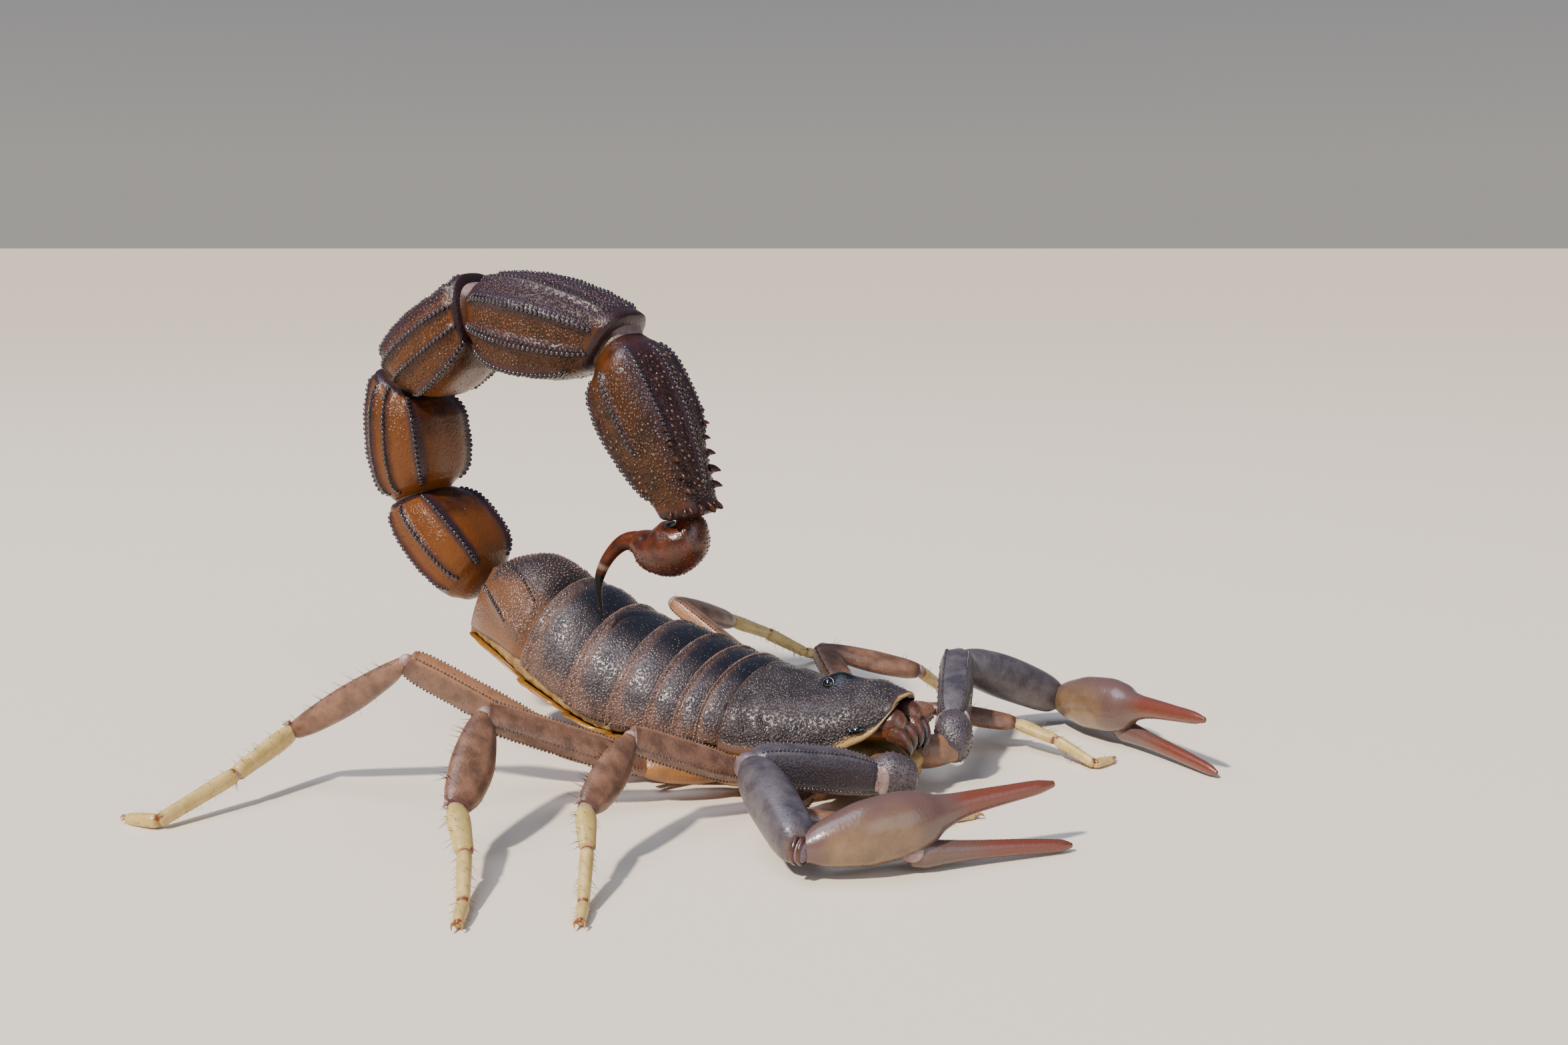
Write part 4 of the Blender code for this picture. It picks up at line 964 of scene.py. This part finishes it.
def keelLines(grid, line, angles, near, far):
    # the crests of a limb piece's keels, less a few rings at each end
    columns = [int(round(angle / 360 * grid.shape[1])) % grid.shape[1] for angle in angles]
    return [(grid[near:-far, j], grid[near:-far, j] - line[near:-far], 1.0) for j in columns]


legs = {  # coxa end, femur base, knee, and the ends of patella, tibia, basitarsus and telotarsus
    "1_right": ((-3.5, -5.8, 2.0), (-3.9, -7.8, 1.8), (-4.6, -12.6, 1.4), (2.8, -11.6, 1.5), (5.2, -8.2, 1.1),
                (6.3, -4.0, 0.5), (7.7, -2.0, 0.32)),
    "2_right": ((-6.7, -6.6, 2.6), (-8.5, -9.9, 3.4), (-13.2, -17.7, 7.5), (-12.0, -25.1, 4.6), (-10.0, -27.8, 2.9),
                (-8.0, -31.2, 0.6), (-6.7, -33.4, 0.38)),
    "3_right": ((-12.0, -7.6, 2.3), (-16.2, -11.2, 3.1), (-24.6, -20.2, 8.3), (-21.2, -27.7, 3.9), (-17.6, -31.3, 2.4),
                (-14.8, -35.0, 0.65), (-13.3, -37.4, 0.4)),
    "4_right": ((-19.6, -7.7, 2.4), (-24.2, -11.6, 3.8), (-33.2, -18.7, 11.0), (-43.4, -20.8, 4.5),
                (-43.6, -26.8, 2.6), (-44.8, -33.3, 0.65), (-48.2, -33.6, 0.4)),
    "1_left": ((-3.4, 5.6, 2.3), (-3.5, 7.7, 2.6), (-3.1, 13.0, 3.5), (3.9, 16.0, 2.3), (7.9, 15.0, 1.6),
               (11.7, 13.6, 0.5), (12.6, 16.1, 0.32)),
    "2_left": ((-6.7, 6.6, 2.6), (-8.5, 9.9, 3.4), (-14.5, 15.4, 6.8), (-6.8, 19.7, 4.7), (-6.3, 23.6, 2.3),
               (-6.6, 27.8, 0.6), (-7.2, 30.5, 0.38)),
    "3_left": ((-12.0, 7.6, 2.3), (-16.6, 11.6, 3.8), (-28.7, 13.1, 10.0), (-28.2, 22.2, 6.6), (-27.2, 27.9, 4.2),
               (-25.6, 33.0, 1.3), (-24.6, 36.1, 0.3)),
    "4_left": ((-19.6, 7.7, 2.4), (-24.2, 11.4, 3.6), (-35.0, 14.2, 8.2), (-45.0, 18.4, 4.2), (-50.3, 21.4, 2.3),
               (-54.4, 26.2, 0.65), (-57.0, 28.6, 0.4)),
}
legSize = {"1": (0.76, 2.9), "2": (0.88, 3.05), "3": (0.97, 3.4), "4": (1.0, 2.4)}  # scale, patella depth
legTables = {
    "trochanter": ((0, 1.5, 2.0), (0.3, 2.0, 2.6), (0.6, 2.1, 2.7), (0.9, 1.7, 2.2), (1, 1.2, 1.7)),
    "femur": ((0, 1.3, 1.9), (0.12, 1.55, 2.25), (0.35, 1.65, 2.6), (0.75, 1.6, 2.6), (0.93, 1.55, 2.45),
              (1, 1.4, 2.2)),
    "patella": ((0, 1.2, 0.42), (0.06, 1.35, 0.55), (0.2, 1.6, 0.78), (0.55, 1.8, 1.0), (0.85, 1.7, 0.85),
                (0.96, 1.5, 0.68), (1, 1.3, 0.6)),
    "tibia": ((0, 1.0, 1.3), (0.08, 1.2, 1.6), (0.25, 1.3, 1.8), (0.8, 1.15, 1.5), (0.96, 1.15, 1.4), (1, 1.0, 1.2)),
    "basitarsus": ((0, 0.95, 1.15), (0.1, 1.1, 1.3), (0.7, 1.0, 1.15), (0.95, 0.95, 1.1), (1, 0.85, 1.0)),
    "telotarsus": ((0, 0.85, 0.95), (0.12, 1.0, 1.1), (0.6, 0.9, 1.0), (0.92, 0.75, 0.85), (1, 0.5, 0.6)),
}
femurKeels = ((32, 0.08), (328, 0.08), (146, 0.08), (214, 0.08))
legGrain = {"femur": (0.42, 0.14, 0.9, 41), "patella": (0.5, 0.12, 0.8, 42), "teeth": (0.30, 0.18, 1.3, 3)}
# near the floor hairs are left out or level off, and none ends lower than "clear"; spreads of angle and direction
hairs = {"lowest": 0.25, "level": 1.2, "levelDrop": -0.2, "clear": 0.03, "angleSpread": 9, "waySpread": 0.15}
hairPoints, hairWays, hairLengths = [], [], []


def edgeHairs(grid, line, direction, angles, count, length, lean):
    # bristles along chosen angles of a limb piece, leaning towards its far end
    rings, sides = grid.shape[:2]
    for angle in angles:
        for place in rng.uniform(0.08, 0.96, count):
            i = int(place * (rings - 1))
            root = grid[i, int((angle + rng.normal(0, hairs["angleSpread"])) / 360 * sides) % sides]
            way = unit(root - line[i]) + direction * lean + rng.normal(0, hairs["waySpread"], 3)
            if root[2] < hairs["lowest"]:
                continue
            if root[2] < hairs["level"]:
                way[2] = max(way[2], hairs["levelDrop"])
            reach = length * rng.uniform(0.6, 1.25)
            if root[2] + unit(way)[2] * reach > hairs["clear"]:
                hairPoints.append(root)
                hairWays.append(unit(way))
                hairLengths.append(reach * mm)


rng = np.random.default_rng(5)
for name, joints in legs.items():
    pair = name[0]
    scale, depth = legSize[pair]
    coxa, base, knee, shin, ankle, foot, tip = (np.array(joint) for joint in joints)
    hinge = unit(np.cross(knee - base, shin - knee))
    level = unit(np.cross(tip - ankle, upward))
    tables = {key: np.array(rows) * (1, scale, scale) for key, rows in legTables.items()}
    tables["patella"] = tables["patella"] * (1, 1, depth)
    node = f"leg_{name}_"
    along = unit(base - coxa)
    grid, *_ = limbForm(coxa + along * 0.1, base + along * 0.25, tables["trochanter"], hinge, 20, 36, 2.3)
    shell(node + "trochanter_cuticle", domed(grid, 0.2, 0.35), "leg_cuticle", "legCuticle", gold=0.75)
    # femur: two fine saw-toothed rows on each edge
    along = unit(knee - base)
    grid, line, shares = limbForm(base + along * 0.05, knee - along * 0.2, tables["femur"], hinge, 50, 48, 2.7,
                                  keels=femurKeels)
    aside = 180 - np.abs(np.linspace(-180, 180, 48, endpoint=False))  # 0 on the outer edge
    femur = shell(node + "femur_cuticle", domed(grid, 0.1, 0.16), "leg_cuticle", "legCuticle", node + "femur",
                  gold=overCaps(smoothStep(0.14, 0.0, shares) * 0.6), rose=smoothStep(112, 138, aside) * 0.9,
                  rim=overCaps(smoothStep(0.93, 1.0, shares) * 0.7), grain=overCaps(np.full(50, 0.35), bare=True))
    granules(node + "femur_granules", femur, "leg_cuticle", "legGranules", *legGrain["femur"])
    beaded(node + "femur_teeth", keelLines(grid, line, [angle for angle, _ in femurKeels], 4, 2), "leg_cuticle",
           "legGranules", *legGrain["teeth"])
    # patella: a flat leaf with a sharp outer edge and bristles on the inner one
    before, along = along, unit(shin - knee)
    grid, line, shares = limbForm(knee + along * 0.2, shin - along * 0.2, tables["patella"], hinge, 44, 44, 2.1,
                                  keels=((0, 0.06), (60, 0.05), (300, 0.05)), shift=0.12)
    part = shell(node + "patella_cuticle", domed(grid, 0.15, 0.16), "leg_cuticle", "legCuticle", node + "patella",
                 rim=overCaps(smoothStep(0.90, 1.0, shares) * 0.8), gold=0.15,
                 grain=overCaps(np.full(44, 0.25), bare=True))
    granules(node + "patella_dots", part, "leg_cuticle", "legGranules", *legGrain["patella"])
    edgeHairs(grid, line, along, (180, 165, 195), 7, 1.0, 0.35)
    edgeHairs(grid, line, along, (0,), 5, 0.6, 0.9)
    # tibia, basitarsus and telotarsus: pale, round and bristly
    for piece, a, b, side, gap, count, size, nodes in (
            ("tibia", shin, ankle, hinge, 0.12, 7, 0.8, ("tibia",)),
            ("basitarsus", ankle, foot, level, 0.12, 10, 0.75, ("tarsus",)),
            ("telotarsus", foot, tip, level, 0.3, 9, 0.6, ())):
        way = unit(b - a)
        grid, line, shares = limbForm(a + way * 0.12, b - way * gap, tables[piece], side, 28, 32, 2.1)
        grid = onFloor(domed(grid, 0.14, 0.16))
        spot = np.exp(-((shares - 1.0) / 0.05) ** 2) + np.exp(-(shares / 0.05) ** 2)
        shell(node + piece + "_cuticle", grid, "pale_leg", "paleCuticle", *[node + each for each in nodes],
              rust=overCaps(spot[:, None] * (0.4 + 0.6 * (np.cos(turnsRound(32)) > 0.55))))
        edgeHairs(grid[4:-4], line, way, (180, 135, 225), count, size, 0.6)
        edgeHairs(grid[4:-4], line, way, (20, 340, 90, 270), max(count // 2, 3), size * 0.75, 0.9)
    # two curved claws
    ahead = unit(tip - foot)
    for letter, side in (("a", -level), ("b", level)):
        root = tip - ahead * 0.35 + side * 0.12
        end = tip + np.minimum(ahead, (1, 1, 0)) * 0.35 + side * 0.32 + (0, 0, -0.12)
        middle = (root + end) / 2 + (0, 0, 0.16) + side * 0.12
        claw, _ = sweep((root, middle, end), ((0.3, 0.3), (0.21, 0.21), (0.05, 0.05)), 12, 10, across=side)
        shell(f"{node}claw_{letter}", onFloor(claw), "pale_leg", "paleCuticle", rust=0.8)
    # soft hinges at the knee and the ankle, and the pale spur at the patella's end
    ways = (before, along, unit(ankle - shin), unit(foot - ankle))
    sizes = ((1.25, depth * 0.42), (1.05, 1.35), (0.85, 1.0))
    for number, (place, size) in enumerate(zip((knee, shin, ankle), sizes)):
        radii = (size[0] * scale / 2, size[1] * scale / 2, 0.62)
        shell(f"{node}hinge_{number + 1}", onFloor(ball(place, radii, unit(ways[number] + ways[number + 1]), 12, 20)),
              "pale_leg", "membrane")
    below = limbAxes(along, hinge)[1] * scale
    shell(node + "spur", sweep((shin - along * 0.3 - below * 0.75, shin + along * 0.35 - below * 0.95),
                               ((0.5, 0.5), (0.1, 0.1)), 8, 10)[0], "pale_leg", "membrane")
print("legs made")

pedipalps = {  # front of the trochanter, femur base, elbow, wrist, finger joint, fixed tip, movable tip
    "right": ((3.2, -4.2, 3.0), (0.9, -5.7, 3.2), (-6.0, -12.8, 5.0), (1.9, -19.7, 2.3), (7.8, -14.6, 1.2),
              (14.7, -5.3, 4.8), (16.2, -5.4, 0.5)),
    "left": ((3.0, 4.6, 2.7), (1.9, 6.6, 4.4), (-1.6, 16.0, 7.0), (4.3, 25.2, 2.3), (11.0, 21.9, 1.3),
             (20.2, 15.3, 5.0), (21.2, 16.0, 0.5)),
}
palpTables = {
    "trochanter": ((0, 2.1, 2.8), (0.25, 2.8, 3.6), (0.6, 3.1, 4.0), (1, 2.4, 3.0)),
    "femur": ((0, 2.0, 2.5), (0.08, 2.4, 2.9), (0.4, 2.8, 3.4), (0.8, 2.9, 3.4), (0.95, 2.75, 3.2), (1, 2.4, 2.8)),
    "patella": ((0, 1.9, 2.3), (0.06, 2.5, 2.9), (0.18, 3.1, 3.5), (0.45, 3.5, 3.9), (0.8, 3.3, 3.6),
                (0.95, 2.8, 3.1), (1, 2.2, 2.5)),
    "hand": ((0, 1.7, 1.9), (0.05, 2.6, 2.9), (0.14, 3.5, 3.9), (0.24, 4.15, 4.6), (0.36, 4.2, 4.7), (0.46, 3.5, 4.0),
             (0.53, 2.4, 2.6), (0.62, 1.75, 1.85), (0.8, 1.25, 1.35), (0.93, 0.95, 1.05), (1, 0.42, 0.5)),
    "finger": ((0, 1.3, 1.7), (0.08, 1.65, 2.0), (0.18, 1.5, 1.75), (0.4, 1.25, 1.35), (0.75, 1.0, 1.1),
               (0.93, 0.8, 0.9), (1, 0.35, 0.4)),
}
palpKeels = ((38, 0.10), (322, 0.10), (128, 0.10), (232, 0.10))
palpGrain = {"trochanter": (0.36, 0.2, 1.0, 51), "femur": (0.44, 0.17, 1.0, 52), "keels": (0.31, 0.23, 1.2, 4),
             "denticles": (0.24, 0.11, 1.0, 6)}
hingeRadii = ((1.25, 1.4, 0.8), (1.15, 1.3, 0.9), (0.9, 1.0, 0.7), (0.75, 0.95, 1.1))
wristRims = ((-0.25, 1.0), (0.20, 0.95))  # how far past the wrist, radius
palmLook = {"share": 0.42, "raised": 1.0, "patchAngle": 105, "patchWide": 48}  # angles in degrees from the back


def levelWith(way):
    return unit(np.cross(way, upward))


for name, joints in pedipalps.items():
    front, base, elbow, wrist, knuckle, fixedTip, freeTip = (np.array(joint) for joint in joints)
    node = f"palp_{name}_"
    inner = unit(base - front)
    grid, *_ = limbForm(front, base + inner * 0.2, palpTables["trochanter"], levelWith(inner), 24, 44, 2.3)
    part = shell(node + "trochanter_cuticle", domed(grid, 0.4, 0.5), "palp_cuticle", "palpCuticle", amber=0.3,
                 grain=0.8)
    granules(node + "trochanter_granules", part, "palp_cuticle", "palpGranules", *palpGrain["trochanter"])
    # femur: granular keels on four corners, its underside orange-brown
    upper, middle = unit(elbow - base), unit(wrist - elbow)
    grid, line, _ = limbForm(base, elbow - upper * 0.25, palpTables["femur"], levelWith(upper), 50, 60, 2.8, bow=0.25,
                             keels=palpKeels)
    aside = offBack(turnsRound(60, 360))
    grain = 0.15 + 0.5 * smoothStep(40, 70, aside) * smoothStep(140, 110, aside)
    part = shell(node + "femur_cuticle", domed(grid, 0.2, 0.3), "palp_cuticle", "palpCuticle", node + "femur",
                 amber=smoothStep(105, 150, aside), plum=smoothStep(38, 52, aside) * smoothStep(128, 108, aside),
                 grain=overCaps(np.ones(50), bare=True) * grain)
    granules(node + "femur_granules", part, "palp_cuticle", "palpGranules", *palpGrain["femur"])
    beaded(node + "femur_rows", keelLines(grid, line, [angle for angle, _ in palpKeels], 3, 3), "palp_cuticle",
           "palpGranules", *palpGrain["keels"])
    # patella: smooth and swollen
    grid, line, shares = limbForm(elbow + middle * 0.3, wrist - middle * 0.3, palpTables["patella"], levelWith(middle),
                                  44, 56, 2.2, bow=0.15, keels=((40, 0.04), (320, 0.04)))
    shell(node + "patella_cuticle", domed(grid, 0.3, 0.3), "palp_cuticle", "palpCuticle", node + "patella",
          amber=overCaps(smoothStep(0.95, 1.0, shares) * 0.45))
    # hand with its fixed finger in one piece
    palmEnd = wrist + ((fixedTip + freeTip) / 2 - wrist) * palmLook["share"] + (0, 0, palmLook["raised"])
    way = unit(palmEnd - wrist)
    start = wrist + way * 0.3
    palm, outward = palmEnd - start, fixedTip - palmEnd
    path = (start, start + palm * 0.33, start + palm * 0.7, palmEnd, palmEnd + outward * 0.35 + (0, 0, 0.25),
            palmEnd + outward * 0.7 + (0, 0, 0.15), fixedTip)
    grid, line = sweep(path, palpTables["hand"], 90, 64, across=levelWith(way), fromTop=True)
    grid = onFloor(domed(grid, 0.3, 0.1))
    shares = np.linspace(0, 1, 90)
    # an olive patch on the palm's outer face, mauve round it and at the root of the fingers
    patch = (np.exp(-((turnsRound(64, 360) - palmLook["patchAngle"]) / palmLook["patchWide"]) ** 2)
             * (smoothStep(0.02, 0.10, shares) * smoothStep(0.46, 0.32, shares))[:, None])
    shell(node + "hand_cuticle", grid, "hand", "handCuticle", node + "hand",
          red=overCaps(smoothStep(0.50, 0.66, shares)), mauve=overCaps(np.clip(0.95 - 1.1 * patch, 0, 1)))
    lower = grid[4:-4][52:86, 32]
    rows = [(lower, lower - line[52:86], np.linspace(1.0, 0.7, 34))]
    # movable finger, hung under the hand's front end
    along = unit(freeTip - knuckle)
    grid, line, shares = limbForm(knuckle + along * 0.2 + (0, 0, 0.1), freeTip, palpTables["finger"], levelWith(along),
                                  60, 40, 2.0, bow=0.12)
    grid = onFloor(domed(grid, 0.5, 0.1))
    shell(node + "finger_cuticle", grid, "finger", "handCuticle", node + "finger", mauve=0.9,
          red=overCaps(smoothStep(0.12, 0.6, shares)))
    crest = grid[4:-4][12:57, 0]
    rows.append((crest, crest - line[12:57], np.linspace(1.0, 0.7, 45)))
    beaded(node + "denticles", rows, "finger", "denticle", *palpGrain["denticles"])
    # soft hinges, two tanned rims round the wrist, and the soft oval on the outer side of the trochanter
    bent = unit(middle + way)
    places = ((base, unit(elbow - front)), (elbow, unit(upper + middle)), (wrist, bent), (knuckle + (0, 0, 0.5), along))
    for number, ((place, turned), radii) in enumerate(zip(places, hingeRadii)):
        shell(f"{node}hinge_{number + 1}", onFloor(ball(place, radii, turned, 14, 26)), "hand",
              "softJoint" if number in (1, 2) else "membrane")
    for number, (offset, radius) in enumerate(wristRims):
        rim = roundRim(wrist, bent, limbAxes(bent, upward)[0], radius, 0.1, offset, 0.14)
        shell(f"{node}wristRim_{number + 1}", onFloor(rim), "hand", "handCuticle", closed=False, rust=1.0)
    outside = unit((0.45, -0.85 if name == "right" else 0.85, 0.12))
    shell(node + "ovalMembrane", ball(base - inner * 0.45 + outside * 1.1, (0.66, 0.42, 1.2), (0.1, 0, 1.0), 16, 26),
          "hand", "membrane")
print("pedipalps made")

points = meshPiece("bristleRoots", np.array(hairPoints), [],
                   {"outward": np.array(hairWays), "beadSize": np.array(hairLengths)})
grown("bristles", points, bristleTree, {"Thickness": 0.027, "Bend": 0.12}, "pale_leg", "bristle", removeHost=True)
print("bristles made:", len(hairPoints))


# ---- underside of the front body

coxae = {  # inner end, outer end, width, depth
    "1": ((-1.6, 2.4, 2.1), (-3.5, 5.7, 2.2), 2.4, 2.4), "2": ((-4.2, 2.6, 2.1), (-6.7, 6.6, 2.6), 2.7, 2.4),
    "3": ((-7.6, 2.8, 2.1), (-12.0, 7.6, 2.3), 2.9, 2.4), "4": ((-10.4, 2.8, 2.1), (-19.6, 7.7, 2.4), 3.0, 2.4)}
coxaTable = ((0, 0.62, 0.72), (0.1, 0.85, 0.92), (0.4, 0.97, 1.0), (0.75, 0.92, 0.98), (0.95, 0.7, 0.8), (1, 0.6, 0.7))

# the middle plate and flesh that the legs' first joints stand on: x, half width, top and bottom
fleshRows = ((1.6, 1.5, 3.1, 2.3), (0.4, 2.9, 3.6, 1.9), (-2.0, 3.8, 3.9, 1.6), (-5.0, 4.6, 4.3, 1.4),
             (-8.0, 5.3, 4.2, 1.3), (-11.9, 5.8, 4.1, 1.25), (-13.0, 5.8, 3.8, 1.25), (-15.6, 4.6, 2.6, 1.4))
xs = np.linspace(fleshRows[0][0], fleshRows[-1][0], 40)[:, None]
half, top, bottom = np.moveaxis(readRows(fleshRows, xs), -1, 0)
rise, side, reach = roundedBox(turnsRound(56), 3.2)
zs = (top + bottom) / 2 + (top - bottom) / 2 * reach * rise
shell("frontFlesh", np.stack(np.broadcast_arrays(xs, half * reach * side, zs), -1), "underside", "pleura",
      "coxosternum")


def plateUnder(name, corners, level, thick, crown, sides=48):
    # a low crowned plate lying face down: corners are its outline (x, y), made round by a closed spline
    ring = np.array([*corners, corners[0]], float)
    outline = splineThrough(np.pad(ring, ((0, 0), (0, 1))), np.linspace(0, 1, sides, endpoint=False))[:, :2]
    x, y = outline.T
    if np.sum(x * np.roll(y, -1) - np.roll(x, -1) * y) < 0:
        outline = outline[::-1]
    middle = outline.mean(0)
    profile = ((0.05, -crown), (0.35, -crown * 0.93), (0.65, -crown * 0.7), (0.86, -crown * 0.32),
               (0.96, -crown * 0.08), (1.0, thick * 0.3), (0.97, thick), (0.5, thick))
    rings = [np.column_stack([middle + (outline - middle) * share, np.full(sides, level + drop)])
             for share, drop in profile]
    shell(name, np.array(rings), "underside", "belly")


palpCoxa = {"left": ((-0.6, 2.3, 2.7), (1.2, 3.4, 2.8), (2.7, 4.9, 3.0)),
            "right": ((-0.6, -2.3, 2.7), (1.0, -3.2, 2.8), (2.4, -4.6, 3.0)),
            "girth": ((2.6, 2.5), (2.6, 2.7), (2.1, 2.4))}
lobe = {"path": ((-2.4, 1.2, 1.9), (-0.4, 1.15, 1.75), (1.5, 0.75, 2.1)), "girth": ((1.5, 1.2), (1.7, 1.5), (0.9, 0.9))}
comb = {"teeth": 24, "toothLength": 1.25, "spine": ((-13.4, 1.6, 1.45), (-15.2, 4.6, 1.35), (-17.1, 8.7, 1.2)),
        "girth": ((1.3, 0.55), (1.15, 0.5), (0.5, 0.4)), "toothGirth": ((0.22, 0.3), (0.31, 0.36), (0.2, 0.22))}
combTeeth = []
for tag, flank in reversed(flanks):
    mirrored = (1, flank, 1)
    for pair, (root, end, width, depth) in coxae.items():
        grid, _, shares = limbForm(np.array(root) * mirrored, np.array(end) * mirrored,
                                   np.array(coxaTable) * (1, width, depth), upward, 26, 36, 2.4)
        shell(f"coxa_{pair}_{tag}", domed(grid, 0.25, 0.2), "underside", "belly", gold=0.9,
              rim=overCaps(smoothStep(0.9, 1.0, shares) * 0.4))
    # the first joint of the pedipalp, and the lobes in front of the sternum
    shell(f"palpCoxa_{tag}", domed(sweep(palpCoxa[tag], palpCoxa["girth"], 24, 32)[0], 0.2, 0.2), "underside",
          "legCuticle", gold=0.35)
    shell(f"coxalLobe_{tag}", sweep(np.array(lobe["path"]) * mirrored, lobe["girth"], 20, 24)[0], "underside", "belly")
    # comb: a thin plate with flat teeth behind it, shorter towards its outer end
    spine = np.array(comb["spine"]) * mirrored
    shell(f"combPlate_{tag}", sweep(spine, comb["girth"], 30, 20, across=(1.0, 0, 0))[0], "underside", "belly")
    rear = unit((-1.0, -0.34 * flank, -0.06))
    for number, spot in enumerate(splineThrough(spine, np.linspace(0.1, 0.985, comb["teeth"]))):
        size = comb["toothLength"] * (1 - 0.45 * number / (comb["teeth"] - 1))
        tooth, _ = sweep([spot + rear * (0.35 + size * share) for share in (0, 0.6, 1)], comb["toothGirth"], 8, 12)
        combTeeth.append(sweptForm(f"combTooth_{tag}_{number}", domed(tooth, 0, 0.1, 2), {}))
keep(joined("combTeeth", combTeeth), "underside", skin["membrane"])
plateUnder("sternum", ((-5.6, 0.0), (-6.4, 1.1), (-9.6, 1.75), (-11.0, 1.5), (-11.0, -1.5), (-9.6, -1.75),
                       (-6.4, -1.1)), 1.25, 0.5, 0.3)
for tag, flank in reversed(flanks):
    plateUnder(f"genitalFlap_{tag}", [(x, y * flank) for x, y in (
        (-11.3, 0.15), (-11.5, 1.7), (-12.7, 1.8), (-13.3, 0.9), (-13.1, 0.15))], 1.3, 0.5, 0.28)
print("underside made")


# ---- stage, light and camera

studio = {"floorSize": 30.0, "floor": "#e9ddca", "horizon": "#cfcac4", "zenith": "#6d7d9c", "worldStrength": 0.62}
camera = {"eye": (52.4, -115.1, 43.1), "down": 9.58, "aside": 28.5, "lens": 38.27}


def plain(name, colour, rough):
    # matte paper backdrop
    material = bpy.data.materials.new(name)
    material.use_nodes = True
    shader = material.node_tree.nodes["Principled BSDF"]
    shader.inputs["Base Color"].default_value = hexColour(colour)
    shader.inputs["Roughness"].default_value = rough
    return material


half = studio["floorSize"] / 2
mesh = bpy.data.meshes.new("floor")
mesh.from_pydata([(-half, -half, 0), (half, -half, 0), (half, half, 0), (-half, half, 0)], [], [(0, 1, 2, 3)])
floor = bpy.data.objects.new("floor", mesh)
floor.data.materials.append(plain("matte paper", studio["floor"], 0.85))
bpy.context.scene.collection.objects.link(floor)

# a soft sky: pale round the horizon like the floor, quieter overhead
world = bpy.data.worlds.new("soft sky")
world.use_nodes = True
sky = world.node_tree
way = addNode(sky, "ShaderNodeSeparateXYZ", {0: addNode(sky, "ShaderNodeTexCoord").outputs["Generated"]})
high = remap(sky, way.outputs[2], 0.05, 0.35)
tone = blend(sky, high, hexColour(studio["horizon"]), hexColour(studio["zenith"]))
sky.links.new(tone, sky.nodes["Background"].inputs["Color"])
sky.nodes["Background"].inputs["Strength"].default_value = studio["worldStrength"]
bpy.context.scene.world = world

lamps = (  # name, kind, place, size in metres or degrees, power, colour
    ("key", "SUN", (-0.08, -0.32, 0.38), 4, 5.6, "#fff5ea"),
    ("fill", "AREA", (0.45, -0.20, 0.25), 0.40, 0.9, "#e8f1ff"),
    ("overhead", "AREA", (-0.16, -0.10, 0.45), 0.30, 1.3, "#dce6ff"),
)
for name, kind, place, size, power, colour in lamps:
    lamp = bpy.data.lights.new(name, kind)
    if kind == "SUN":
        lamp.angle = radians(size)
    else:
        lamp.size = size
    lamp.energy, lamp.color = power, hexColour(colour)[:3]
    holder = bpy.data.objects.new(name, lamp)
    holder.location = place
    holder.rotation_euler = (Vector((0, 0, 0.015)) - Vector(place)).to_track_quat("-Z", "Y").to_euler()
    bpy.context.scene.collection.objects.link(holder)

view = bpy.data.objects.new("camera", bpy.data.cameras.new("camera"))
view.data.lens, view.data.sensor_width = camera["lens"], 36.0
view.data.clip_start, view.data.clip_end = 0.005, 10.0
view.location = (np.array(camera["eye"]) - baseMiddle) * mm
view.rotation_euler = (radians(90 - camera["down"]), 0, radians(camera["aside"]))
bpy.context.scene.collection.objects.link(view)
bpy.context.scene.camera = view

for piece, slot, nodes in pieces:
    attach(piece, "root")
    if nodes:
        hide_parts(*nodes)
print("pieces on the body:", len(pieces))
